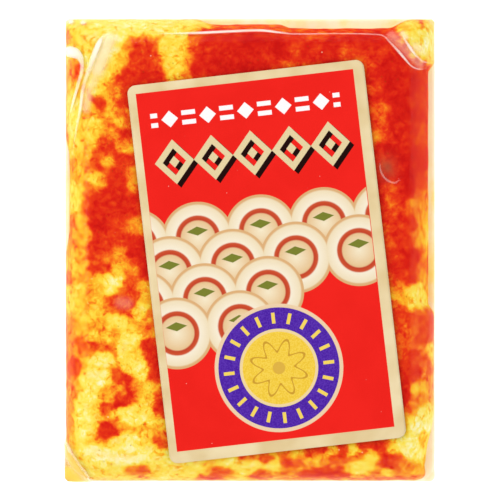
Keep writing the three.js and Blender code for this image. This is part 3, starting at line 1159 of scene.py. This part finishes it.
    def build(self) -> bpy.types.Object:
        """Makes the block with its soaked strength painted on.

        Returns:
            The block.
        """
        surface = slab_surface(self.form, self.gap, Fineness())
        surface.draw_ears(self.form, self.ears)
        surface.push(-self.side_dent(surface))
        flat = surface.points.reshape(-1, 3)
        wide, narrow = self.dimple_sizes
        bumps = lattice_noise(flat, wide, self.seed + 6) + 0.5 * lattice_noise(flat, narrow, self.seed + 7)
        surface.push(-self.relief * np.abs(bumps).reshape(surface.points.shape[:2]))
        points = surface.flat_points()
        piece = mesh_object("cheese_block", points, surface.faces())
        paint(piece, "paprika", self.strength(surface, points))
        paint(piece, "dull", bells(points, DULL_PATCH))
        dress(piece, PaprikaCurd().make(), "sealed_pack")
        return piece


# The bag

@dataclass(frozen=True)
class ClearFilm:
    """The bag's finish: clear and glossy, milky, and pale with painted highlights, by the haze and highlight
    painted on it.

    The gain makes both tints of haze and highlight brighter, for the light that the film keeps off itself.
    """

    name: str = "clear_film"
    milk_and_highlight: tuple[int, int, int] = (252, 238, 216)
    brine: tuple[int, int, int] = (250, 208, 78)
    gain: float = 1.5
    gloss: float = 0.14
    face_on: float = 0.005  # the share of shine seen face on
    grazing: float = 0.40  # how much that grows towards grazing
    steepness: float = 5.0  # the power by which it grows
    wrinkle: float = 0.35  # how deep the fine wrinkles are, in millimetres
    wrinkle_size: float = 3.0
    through: float = 0.15  # the share of haze and painted highlight lit from behind

    def make(self) -> bpy.types.Material:
        """Builds the film: clear, or milky and pale with painted highlight by its haze and highlight, under a
        gloss that grows towards grazing.

        Returns:
            The material.
        """
        material, tree = new_material(self.name)
        white = (1.0, 1.0, 1.0, 1.0)
        normal = tree.bump(tree.noise(tree.place(), self.wrinkle_size, 1.0), self.wrinkle, 0.5)
        clear = tree.node("ShaderNodeBsdfTransparent", None, {"Color": white})
        milk_and_highlight = tree.mix(tree.attribute("brine"), lit(*self.milk_and_highlight, self.gain), lit(*self.brine, self.gain))
        front = tree.node("ShaderNodeBsdfDiffuse", None, {"Color": milk_and_highlight})
        back = tree.node("ShaderNodeBsdfTranslucent", None, {"Color": milk_and_highlight})
        # Milky where haze is painted, and pale where a highlight is painted.
        body = tree.blend(tree.attribute("haze"), clear, tree.blend(self.through, front, back))
        shine = tree.node("ShaderNodeBsdfGlossy", None, {
            "Color": white,
            "Roughness": self.gloss,
            "Normal": normal,
        })
        bent = tree.node("ShaderNodeLayerWeight", None, {"Blend": 0.5, "Normal": normal})
        edge = self.face_on + self.grazing * Wire(tree, bent.outputs["Facing"]).math("POWER", self.steepness)
        tree.finish(tree.blend(edge, body, shine))
        return material


@dataclass(frozen=True)
class Cloud:
    """A soft stretch of the film: the path it follows, its half width and what it holds. Some are milky film,
    some are painted highlights.

    Attributes:
        path: Places in plan.
        half_width: The distance at which the cloud has faded to nothing.
        haze: How milky its middle is, up to 1, and for a painted highlight how bright.
        brine: How yellow it is, up to 1.
        edge: The share of the half width over which it fades.
    """

    path: tuple[tuple[float, float], ...]
    half_width: float
    haze: float
    brine: float = 0.0
    edge: float = 1.0


HAZE_AND_HIGHLIGHTS = (
    Cloud(((-44.9, -56.2), (-43.8, -54.6), (-42.6, -56.2)), 3.4, 0.72, 1.0, 0.6),
    Cloud(((-45.0, -47.6), (-42.8, -51.4), (-39.8, -55.8)), 1.9, 0.55, 0.9, 0.8),
    Cloud(((34.0, 51.4), (36.6, 48.8), (38.8, 46.4), (40.8, 44.6)), 1.5, 0.17, 0.0, 0.6),
    Cloud(((-31.0, -12.6), (-29.5, -12.8)), 2.2, 0.10, 0.0, 0.9),
    # Painted highlights: the light caught along the rounded edge at the left head corner.
    Cloud(((-33.6, 50.6), (-34.8, 47.4), (-36.6, 43)), 2.4, 0.55, 0.2, 0.9),
    Cloud(((-37, 42), (-38.6, 38), (-39.4, 34)), 1.6, 0.4, 0.4, 0.9),
    # Painted highlights: two white glints on the ear at the left head corner.
    Cloud(((-43.4, 55.2), (-43.2, 55.2)), 0.9, 0.7, 0.0, 0.7),
    Cloud(((-40.3, 54.8), (-40.1, 54.8)), 0.8, 0.6, 0.0, 0.7),
    Cloud(((39.8, 48.6), (40.8, 48.0)), 1.8, 0.40, 0.2, 1.0),
    Cloud(((36.6, 52.0), (37.4, 51.0)), 1.0, 0.45, 0.1, 0.8),
    # Painted highlight: a pale streak along the rounded foot edge near the left end.
    Cloud(((-37.6, -48.4), (-33, -49.8), (-28, -50)), 1.5, 0.25, 0.3),
)


@dataclass
class FilmBag:
    """The clear bag: the whole slab's skin, drawn to ears at the corners and creased near them."""

    form: SlabForm
    lift: float = 0.05
    ears: tuple[float, float, float, float] = (1.1, 1.1, 1.1, 1.1)
    pucker: float = 0.12
    pucker_count: float = 34.0  # creases for each radian of turn
    pucker_reach: float = 9.0
    looseness: float = 0.1
    looseness_size: float = 5.0
    haze_and_highlight_from: tuple[float, float] = (2.0, 9.0)  # the heights between which the clouds grow in
    seed: int = 71

    def build(self) -> bpy.types.Object:
        """Makes the bag with its clouds painted on.

        Returns:
            The bag.
        """
        fine = Fineness(short_side=130, long_side=166, under=8, wall=16, roll=30, top_outer=34)
        surface = slab_surface(self.form, -self.lift, fine)
        surface.draw_ears(self.form, self.ears)
        x, y = surface.points[..., 0], surface.points[..., 1]
        corner = np.hypot(self.form.width / 2 - np.abs(x), self.form.length / 2 - np.abs(y))
        ripple = np.sin(surface.turn * self.pucker_count) * np.exp(-(corner / self.pucker_reach) ** 2)
        flat = surface.points.reshape(-1, 3)
        loose = lattice_noise(flat, self.looseness_size, self.seed).reshape(x.shape)
        upright = 1.0 - np.abs(surface.outward[..., 2])
        surface.push((self.pucker * ripple + self.looseness * loose) * upright)
        points = surface.flat_points()
        points[:, 2] = np.maximum(points[:, 2], 0.0)
        piece = mesh_object("film_bag", points, surface.faces())
        self.paint_haze_and_highlights(piece, points)
        dress(piece, ClearFilm().make(), "sealed_pack")
        return piece

    def paint_haze_and_highlights(self, piece: bpy.types.Object, points: np.ndarray) -> None:
        """Paints the haze and painted highlight of the strongest cloud at each point, and that cloud's brine.

        Args:
            piece: The bag.
            points: Its points, one a row.
        """
        haze, brine = np.zeros(len(points)), np.zeros(len(points))
        for cloud in HAZE_AND_HIGHLIGHTS:
            away = distance_to_path(points[:, :2], np.array(cloud.path))
            own = cloud.haze * smooth_step(away, cloud.half_width, cloud.half_width * (1.0 - cloud.edge))
            brine = np.where(own > haze, cloud.brine, brine)
            haze = np.maximum(haze, own)
        paint(piece, "haze", haze * smooth_step(points[:, 2], *self.haze_and_highlight_from))
        paint(piece, "brine", brine)


@dataclass(frozen=True)
class SeamFilm:
    """The seam's finish: layers of film that look creamy, with yellow brine caught in places."""

    name: str = "seam_film"
    cream: tuple[int, int, int] = (250, 233, 196)
    brine: tuple[int, int, int] = (252, 214, 84)
    # Painted light: the seam is made brighter than its own colour, for the light that the film and the cheese
    # keep off it.
    gain: float = 1.42
    roughness: float = 0.4
    stain_size: float = 2.4
    wrinkle: float = 0.1
    wrinkle_size: float = 1.2

    def make(self) -> bpy.types.Material:
        """Builds the material: cream to yellow by the brine painted on it, uneven along the seam.

        Returns:
            The material.
        """
        material, tree = new_material(self.name)
        place = tree.place()
        uneven = tree.noise(place, self.stain_size, 2.0).ranged(0.35, 0.65, -0.12, 0.16)
        share = (tree.attribute("brine") + uneven).math("ADD", 0.0, clamp=True)
        colour = tree.mix(share, lit(*self.cream, self.gain), lit(*self.brine, self.gain))
        normal = tree.bump(tree.noise(place, self.wrinkle_size, 1.0), self.wrinkle, 0.4)
        tree.finish_plain(colour, self.roughness, 0.0, normal)
        return material


SEAM_STAINS = pools(
    (44.9, 13, 1.0, 4.5, 0.90), (44.5, 5, 3, 3.5, 0.35), (44.5, -5, 3, 9, 0.78), (23, 56, 1.2, 2, 0.55),
    (35.2, 56, 1.1, 2, 0.75), (8, 56, 8, 3, 0.35), (-8, 56, 8, 3, 0.40), (44, 54, 4, 4, 0.80),
    (-43, -54, 5, 5, 0.85), (-44.8, 14, 3, 10, 0.25), (-44, 54, 3, 3, 0.80),
)


@dataclass
class BagSeam:
    """The bag's seam: a thin flat band at the girth, from inside the cheese out to the film."""

    form: SlabForm
    ears: tuple[float, float, float, float]
    outer_gap: float = 0.12
    inner_gap: float = 3.4
    thickness: float = 0.16
    columns: int = 5

    def build(self) -> bpy.types.Object:
        """Makes the band between two outlines at the girth, as a closed loop carried round the pack.

        Across the band a point is outer + t (inner - outer), with t from 0 to 1 over the upper face and
        back under it.

        Returns:
            The band with its brine painted on.
        """
        fine = Fineness(short_side=90, long_side=112)
        rims = []
        for gap, ears in ((self.outer_gap, self.ears), (self.inner_gap, self.form.corners)):
            surface = slab_surface(self.form, gap, fine)
            surface.draw_ears(self.form, ears)
            ring = np.abs(surface.height - self.form.girth_height).argmin()
            rims.append(surface.points[ring, :, :2])
        share = np.linspace(0.0, 1.0, self.columns + 1)
        across = np.concatenate([share, share[::-1]])
        side = np.repeat([0.5, -0.5], self.columns + 1) * self.thickness
        plan = rims[0] + across[:, None, None] * (rims[1] - rims[0])
        rise = np.broadcast_to((self.form.girth_height + side)[:, None, None], plan.shape[:2] + (1,))
        points = np.concatenate([plan, rise], axis=2)
        rows, around = points.shape[:2]
        faces = grid_faces(rows + 1, around, True) % (rows * around)
        piece = mesh_object("bag_seam", points.reshape(-1, 3), [faces])
        paint(piece, "brine", bells(points.reshape(-1, 3), SEAM_STAINS))
        dress(piece, SeamFilm().make(), "sealed_pack")
        return piece


@dataclass(frozen=True)
class Fold:
    """A fold of film that stands up along a path in plan.

    Attributes:
        name: The piece's name.
        path: Places in plan, each with the fold's half width there.
        crown: How high it stands at its widest.
        haze: How milky it is at its widest, and how bright the painted highlight along its crest is.
        brine: How yellow it is.
        softness: The power to which its haze falls off from the middle to both sides.
        bead: The length over which its haze comes and goes.
    """

    name: str
    path: tuple[tuple[float, float, float], ...]
    crown: float
    haze: float
    brine: float = 0.0
    softness: float = 1.0
    bead: float = 5.0


# Each fold's haze is part milky film, part a painted highlight along its crease.
FOLDS = (
    Fold("head_crease", (
        (-27, 51.9, 0.12), (-20, 51.9, 0.26), (-12, 52.1, 0.36), (-4, 52.5, 0.38), (2.5, 52.7, 0.36),
        (7, 52.2, 0.30), (11, 51.8, 0.22), (20, 51.9, 0.16), (28, 51.8, 0.18), (31.8, 51.4, 0.20),
        (33.8, 49.5, 0.28), (35.8, 47.3, 0.36), (37.0, 45.9, 0.32), (38.4, 44.3, 0.22), (39.8, 43.5, 0.20),
        (41.4, 43.4, 0.20), (42.8, 43.9, 0.14),
    ), 0.12, 0.52, 0.0, 0.8),
    Fold("corner_crease", (
        (36.4, 52.4, 0.14), (37.0, 50.6, 0.24), (38.2, 48.7, 0.44), (39.2, 47.3, 0.36), (40.2, 46.2, 0.22),
        (41.6, 45.2, 0.20), (43.6, 45.0, 0.12),
    ), 0.12, 0.50, 0.0, 0.8),
    Fold("left_loop", (
        (-45.0, 47.6, 0.90), (-44.2, 47.8, 1.20), (-43.2, 47.7, 1.35), (-41.9, 47.2, 1.30),
        (-40.8, 46.2, 0.90), (-40.3, 44.6, 0.58), (-40.4, 42.5, 0.50), (-41.1, 40.3, 0.46),
        (-41.8, 37.9, 0.40), (-42.8, 34.7, 0.32), (-43.6, 32.0, 0.18),
    ), 0.14, 1.0, 0.08, 0.5),
    Fold("left_ridge", (
        (-34.6, 52.2, 0.30), (-36.0, 49.9, 0.70), (-37.2, 47.0, 0.80), (-38.3, 44.0, 0.70),
        (-39.4, 41.0, 0.60), (-40.2, 37.8, 0.52), (-40.7, 34.0, 0.44), (-41.6, 29.5, 0.36),
        (-42.5, 24.0, 0.20),
    ), 0.14, 0.85, 0.15, 1.2),
    Fold("right_bubble", (
        (31.2, 21.4, 0.10), (31.2, 19.4, 0.22), (32.0, 17.6, 0.28), (33.4, 16.4, 0.30), (35.0, 16.2, 0.24),
        (36.2, 17.4, 0.12),
    ), 0.08, 0.12, 0.0, 1.0),
    Fold("foot_diagonal", (
        (-45.0, -45.9, 0.30), (-43.9, -47.6, 0.70), (-42.4, -49.6, 0.50), (-40.9, -51.9, 0.42),
        (-39.4, -53.9, 0.40), (-38.7, -55.9, 0.30),
    ), 0.14, 0.42, 0.30, 1.2),
)


@dataclass
class FilmFold:
    """One standing fold of film: a thin arched ribbon along a smooth curve on the bag's upper side."""

    form: SlabForm
    fold: Fold
    lift: float = 0.06
    thickness: float = 0.03
    steps: int = 10
    columns: int = 12
    taper: float = 3.2  # how quickly it widens from its ends, as a gain on a half circle over its length
    tip: float = 0.03  # the share of the width left at the very ends
    fade: float = 0.14  # the share of the length over which the haze comes in at each end
    bead_mean: float = 0.75
    bead_swing: float = 0.5
    seed: int = 3

    def build(self, finish: bpy.types.Material) -> bpy.types.Object:
        """Makes the ribbon: across it the height is an arch, and both its ends taper to nothing.

        Args:
            finish: The film's material.

        Returns:
            The ribbon with its haze painted on, strongest along the middle.
        """
        traced = spline(np.array(self.fold.path), self.steps)
        curve, half = traced[:, :2], traced[:, 2]
        along = np.gradient(curve, axis=0)
        along /= np.linalg.norm(along, axis=1)[:, None]
        aside = np.stack([along[:, 1], -along[:, 0]], axis=1)
        share = np.linspace(0.0, 1.0, len(curve))
        round_end = np.minimum(1.0, self.taper * np.sqrt(np.maximum(share * (1.0 - share), 0.0)))
        width = half * (self.tip + (1.0 - self.tip) * round_end)
        across = np.linspace(-1.0, 1.0, self.columns + 1)
        offset = width[:, None] * across[None, :]
        plan = curve[:, None, :] + aside[:, None, :] * offset[:, :, None]
        arch = (width / half.max())[:, None] * (1.0 - across[None, :] ** 2)
        z = self.form.top_height(plan[..., 0], plan[..., 1]) + self.lift + self.fold.crown * arch
        upper = np.concatenate([plan, z[..., None]], axis=2)
        piece = sheet_object(self.fold.name, upper, self.thickness)
        ends = smooth_step(np.minimum(share, 1.0 - share), 0.0, self.fade)
        beads = self.bead_mean + self.bead_swing * lattice_noise(curve, self.fold.bead, self.seed)
        # The haze is part milky film, part a painted highlight, brightest along the crest.
        haze = self.fold.haze * (ends * beads)[:, None] * arch ** self.fold.softness
        haze = np.tile(np.clip(haze, 0.0, 1.0).ravel(), 2)
        paint(piece, "haze", haze)
        paint(piece, "brine", np.full(len(haze), self.fold.brine))
        dress(piece, finish, "sealed_pack")
        return piece


# The label

SCALE_TONES = (
    (0.00, lit(246, 232, 200)),
    (0.46, lit(232, 196, 146)),
    (0.50, lit(196, 66, 42)),
    (0.60, lit(206, 84, 50)),
    (0.64, lit(248, 236, 212)),
    (0.90, lit(240, 222, 186)),
    (0.94, lit(222, 176, 122)),
)


@dataclass
class Press:
    """A label in print: the place across and up it, the colour so far, and how soft its borders are.

    Each shape is a signed distance, below zero inside.
    """

    tree: Tree
    across: Wire
    up: Wire
    colour: Any
    edge: float

    def stamp(self, shape: Wire, ink: Any, unit: float = 1.0) -> None:
        """Prints a shape whose distances are in the given number of millimetres."""
        self.colour = self.tree.mix(shape.inside(self.edge / unit), self.colour, ink)

    def panel(self, ink: Any) -> None:
        """Prints the upright panel: the distance is the larger of those past its sides and its ends.

        Args:
            ink: The panel's colour.
        """
        middle_x, middle_y, half_width, half_length = -0.36, 0.36, 26.2, 43.12
        past_side = abs(self.across - middle_x) - half_width
        self.stamp(past_side.highest(abs(self.up - middle_y) - half_length), ink)

    def dash_row(self) -> None:
        """Prints a row of white lozenges with a pair of bars between each two, near the head."""
        height, start, reach, period = 36.6, 0.9, 22.8, 9.12
        lozenge_half, bar_half, bar_rise, bar_thick = 2.0, 2.9, 1.15, 0.55
        along = abs((self.across + start).wrapped(period))
        rise = abs(self.up - height)
        bar = (bar_half - along).highest(abs(rise - bar_rise) - bar_thick)
        limit = abs(self.across + start) - reach
        self.stamp((along + rise - lozenge_half).lowest(bar).highest(limit), lit(255, 250, 250))

    def lattice_row(self) -> None:
        """Prints a row of open cream lozenges, each with a stud, over a near black drop shadow.

        In a lozenge the distance is |x| / half width + |y| / half height, which is 1 along its border.
        """
        height, start, reach, period, unit = 26.3, 0.4, 23.5, 9.4, 5.0
        half_width, half_height, frame_middle, frame_half, stud = 4.7, 5.4, 0.80, 0.20, 0.26
        for shift, ink in ((0.95, lit(34, 12, 10)), (0.0, lit(230, 210, 162))):
            along = self.across + start - shift
            rise = abs(self.up - height + shift)
            far = abs(along.wrapped(period)) / half_width + rise / half_height
            shape = (abs(far - frame_middle) - frame_half).lowest(far - stud)
            self.stamp(shape.highest((abs(along) - reach) / unit), ink, unit)

    def scales(self) -> None:
        """Prints rows of overlapping ivory scales with brick arcs and a green lozenge in each.

        Each row has its height, its shift, and its last scale's place, beyond which the panel stays bare.
        """
        radius, pitch, start, middle, half = 8.6, 15.2, 0.47, 0.42, 26.1
        leaf_rise, leaf_half_width, leaf_half_height = 1.6, 2.6, 1.1
        rows = ((7.6, 0.0, 30.0), (0.2, 7.6, 30.0), (-7.2, 0.0, -0.47), (-14.6, 7.6, -8.07))
        for height, shift, last in rows:
            along = (self.across + start + shift).wrapped(pitch).highest(self.across - last)
            lift = self.up - height
            far = along.beside(lift)
            leaf = abs(along) / leaf_half_width + abs(lift - leaf_rise) / leaf_half_height - 1.0
            scale = self.tree.ramp(far / radius, SCALE_TONES)
            painted = self.tree.mix(leaf.inside(self.edge), scale, lit(122, 128, 48))
            self.stamp((far - radius).highest(abs(self.across + middle) - half), painted)

    def rosette(self, grain: Wire) -> None:
        """Prints a round seal: cream rim, violet-blue ring with short rays, and a yellow disc of petals.

        The petals' outline is a circle whose radius swings by a cosine of the angle.

        Args:
            grain: How far each place is towards the lighter shade of its ink.
        """
        height, rays, ray_half, ray_middle, ray_reach = -25.6, 20, 0.42, 12.0, 1.3
        petals, petal_radius, petal_swing, petal_half, stud = 8.0, 5.4, 1.5, 0.30, 1.5
        lift = self.up - height
        far = self.across.beside(lift)
        angle = lift.math("ARCTAN2", self.across)
        blue = self.tree.mix(grain, lit(74, 32, 160), lit(92, 52, 176))
        yellow = self.tree.mix(grain, lit(240, 198, 56), lit(248, 212, 84))
        rings = ((15.4, lit(238, 208, 170)), (14.5, blue), (9.4, lit(240, 214, 160)), (8.7, yellow))
        for radius, ink in rings:
            self.stamp(far - radius, ink)
        ray = abs(angle.wrapped(4 * QUARTER / rays)) * far - ray_half
        self.stamp(ray.highest(abs(far - ray_middle) - ray_reach), lit(246, 214, 96))
        petal = far - petal_radius + petal_swing * (angle * petals).math("COSINE")
        self.stamp(abs(petal) - petal_half, lit(206, 158, 52))
        self.stamp(far - stud, lit(222, 178, 70))


@dataclass(frozen=True)
class PrintedPaper:
    """The label's finish: a red panel in a cream border, with plain ornaments. Lengths in millimetres."""

    centre: tuple[float, float]
    tilt: float
    name: str = "printed_paper"
    edge: float = 0.10
    roughness: float = 0.38
    specular: float = 0.03

    def make(self) -> bpy.types.Material:
        """Builds the print: border and panel, the ornaments one over the other, and pale flecks.

        Returns:
            The material.
        """
        material, tree = new_material(self.name)
        turned = tree.node("ShaderNodeMapping", {"vector_type": "TEXTURE"}, {
            "Vector": tree.node("ShaderNodeTexCoord").outputs["Object"],
            "Location": (self.centre[0] * MM, self.centre[1] * MM, 0.0),
            "Rotation": (0.0, 0.0, self.tilt),
            "Scale": (MM, MM, MM),
        })
        place = turned.outputs[0]
        across, up, _ = tree.parts(place)
        cloud = tree.noise(place, 9.0, 2.0)
        grain = tree.noise(place, 0.35, 1.0)
        border = tree.mix(cloud.ranged(0.35, 0.65), lit(226, 200, 148), lit(240, 220, 176))
        press = Press(tree, across, up, border, self.edge)
        press.panel(tree.mix(cloud.ranged(0.4, 0.6), lit(242, 37, 30), lit(238, 35, 28)))
        press.scales()
        press.dash_row()
        press.lattice_row()
        press.rosette(grain.ranged(0.4, 0.6))
        fleck = tree.cells(place, 2.6).ranged(0.055, 0.035) * cloud.ranged(0.5, 0.6)
        colour = tree.mix(fleck * 0.5, press.colour, lit(255, 215, 200))
        height = tree.noise(place, 7.0, 1.0) * 0.8 + grain * 0.06
        tree.finish_plain(colour, self.roughness, self.specular, tree.bump(height, 0.4, 0.5))
        return material


@dataclass
class PaperLabel:
    """The label stuck on the bag: a thin sheet that bends down where it passes over the rounded edge."""

    form: SlabForm
    width: float = 57.0
    length: float = 91.1
    corner: float = 2.0
    thickness: float = 0.22
    rest: float = 0.12
    tilt: float = math.radians(6.6)
    centre: tuple[float, float] = (4.0, -2.8)
    columns: int = 90
    rows: int = 140
    arc: int = 8
    ruck: float = 0.05
    ruck_size: float = 9.0
    seed: int = 5

    def build(self) -> bpy.types.Object:
        """Makes the sheet: rows narrowed at both ends by the corner arcs, laid on the bag's top.

        Returns:
            The label.
        """
        reach = self.length / 2 - self.corner
        flat = self.width / 2 - self.corner
        angle = np.linspace(0.0, QUARTER, self.arc + 1)
        straight = np.linspace(-reach, reach, self.rows + 1)
        end = reach + self.corner * np.sin(angle[1:])
        bend = flat + self.corner * np.cos(angle)
        half = np.concatenate([bend[:0:-1], np.full(len(straight), self.width / 2), bend[1:]])
        u = half[:, None] * np.linspace(-1.0, 1.0, self.columns + 1)[None, :]
        v = np.broadcast_to(np.concatenate([-end[::-1], straight, end])[:, None], u.shape)
        x = self.centre[0] + u * math.cos(self.tilt) - v * math.sin(self.tilt)
        y = self.centre[1] + u * math.sin(self.tilt) + v * math.cos(self.tilt)
        plan = np.stack([x.ravel(), y.ravel()], axis=1)
        z = self.form.top_height(x, y) + self.rest + self.thickness
        z += self.ruck * lattice_noise(plan, self.ruck_size, self.seed).reshape(x.shape)
        piece = sheet_object("paper_label_sheet", np.stack([x, y, z], axis=2), self.thickness)
        dress(piece, PrintedPaper(self.centre, self.tilt).make(), "paper_label")
        return piece


# The studio

class SoftLight(Enum):
    """The soft lights: each one's direction from the block, its power in watts and its width in metres."""

    KEY = ((-0.62, 0.52, 0.72), 7.2, 0.9)
    FILL = ((0.80, -0.30, 0.62), 4.6, 1.3)
    FOOT = ((-0.10, -0.90, 0.42), 2.4, 1.0)


SKY_TONES = (
    (0.00, (0.72, 0.72, 0.72, 1.0)),
    (0.30, (0.78, 0.78, 0.78, 1.0)),
    (0.45, (1.0, 1.0, 1.0, 1.0)),
    (0.74, (1.0, 1.0, 1.0, 1.0)),
    (0.95, (0.06, 0.06, 0.06, 1.0)),
)


@dataclass(frozen=True)
class Studio:
    """The plain floor, the soft lights, the pale surroundings and the camera. Lengths in metres.

    The camera hangs its distance above the girth, and sees a strip of the view's width there. Only the
    sensor's width is in millimetres.
    """

    girth_height: float = 0.0105
    camera_distance: float = 0.9
    view_width: float = 0.1216
    sensor: float = 36.0
    light_distance: float = 0.9
    sky_strength: float = 1.45
    floor_half: float = 3.0
    floor_glow: float = 0.35

    def build(self) -> None:
        """Makes everything round the block."""
        self.lay_floor()
        self.set_camera()
        self.hang_lights()
        self.fill_surroundings()
        bpy.context.scene.view_settings.view_transform = "Standard"

    def lay_floor(self) -> None:
        """Lays a level floor of white paper, lit a little from below, under the block."""
        half = self.floor_half / MM
        corners = np.array([[-1, -1, 0], [1, -1, 0], [1, 1, 0], [-1, 1, 0]]) * half
        floor = mesh_object("floor", corners, [np.array([[0, 1, 2, 3]])])
        material, tree = new_material("floor_paper")
        tree.finish(tree.node("ShaderNodeBsdfPrincipled", None, {
            "Base Color": (0.9, 0.9, 0.9, 1.0),
            "Roughness": 1.0,
            "Specular IOR Level": 0.0,
            "Emission Color": (1.0, 1.0, 1.0, 1.0),
            "Emission Strength": self.floor_glow,
        }))
        floor.data.materials.append(material)

    def set_camera(self) -> None:
        """Hangs the camera straight above the block, with +Y up in the picture."""
        data = bpy.data.cameras.new("camera")
        data.sensor_width = self.sensor
        data.lens = self.sensor * self.camera_distance / self.view_width
        data.clip_end = 20.0
        camera = bpy.data.objects.new("camera", data)
        camera.location = (0.0, 0.0, self.girth_height + self.camera_distance)
        bpy.context.scene.collection.objects.link(camera)
        bpy.context.scene.camera = camera

    def hang_lights(self) -> None:
        """Hangs the soft lights, each facing the block."""
        for lamp in SoftLight:
            direction, watts, size = lamp.value
            data = bpy.data.lights.new(f"light_{lamp.name.lower()}", "AREA")
            data.energy = watts
            data.size = size
            light = bpy.data.objects.new(data.name, data)
            heading = np.array(direction) / np.linalg.norm(direction)
            light.location = heading * self.light_distance
            light.rotation_euler = (math.acos(heading[2]), 0.0, math.atan2(heading[1], heading[0]) + QUARTER)
            bpy.context.scene.collection.objects.link(light)

    def fill_surroundings(self) -> None:
        """Makes the surroundings pale all round, with a dark gap overhead where the camera hangs."""
        world = bpy.data.worlds.new("surroundings")
        world.use_nodes = True
        bpy.context.scene.world = world
        tree = Tree(world.node_tree)
        height = tree.parts(tree.node("ShaderNodeTexCoord").outputs["Generated"])[2]
        sky = tree.node("ShaderNodeBackground", None, {
            "Color": tree.ramp(height, SKY_TONES),
            "Strength": self.sky_strength,
        })
        tree.node("ShaderNodeOutputWorld", None, {"Surface": sky.outputs[0]})


def main() -> None:
    """Builds the block, its bag, its label and the studio."""
    logging.basicConfig(level=logging.INFO, format="%(name)s: %(message)s")
    form = SlabForm.from_node("sealed_pack")
    CheeseBlock(form).build()
    bag = FilmBag(form)
    bag.build()
    BagSeam(form, bag.ears).build()
    # The folds' film: near-white haze, part a painted highlight along each crease.
    folded = ClearFilm(name="fold_film", milk_and_highlight=(255, 248, 234), gain=1.35, wrinkle=0.0, through=0.02).make()
    for fold in FOLDS:
        FilmFold(form, fold).build(folded)
    PaperLabel(form).build()
    Studio().build()


if __name__ == "__main__":
    main()
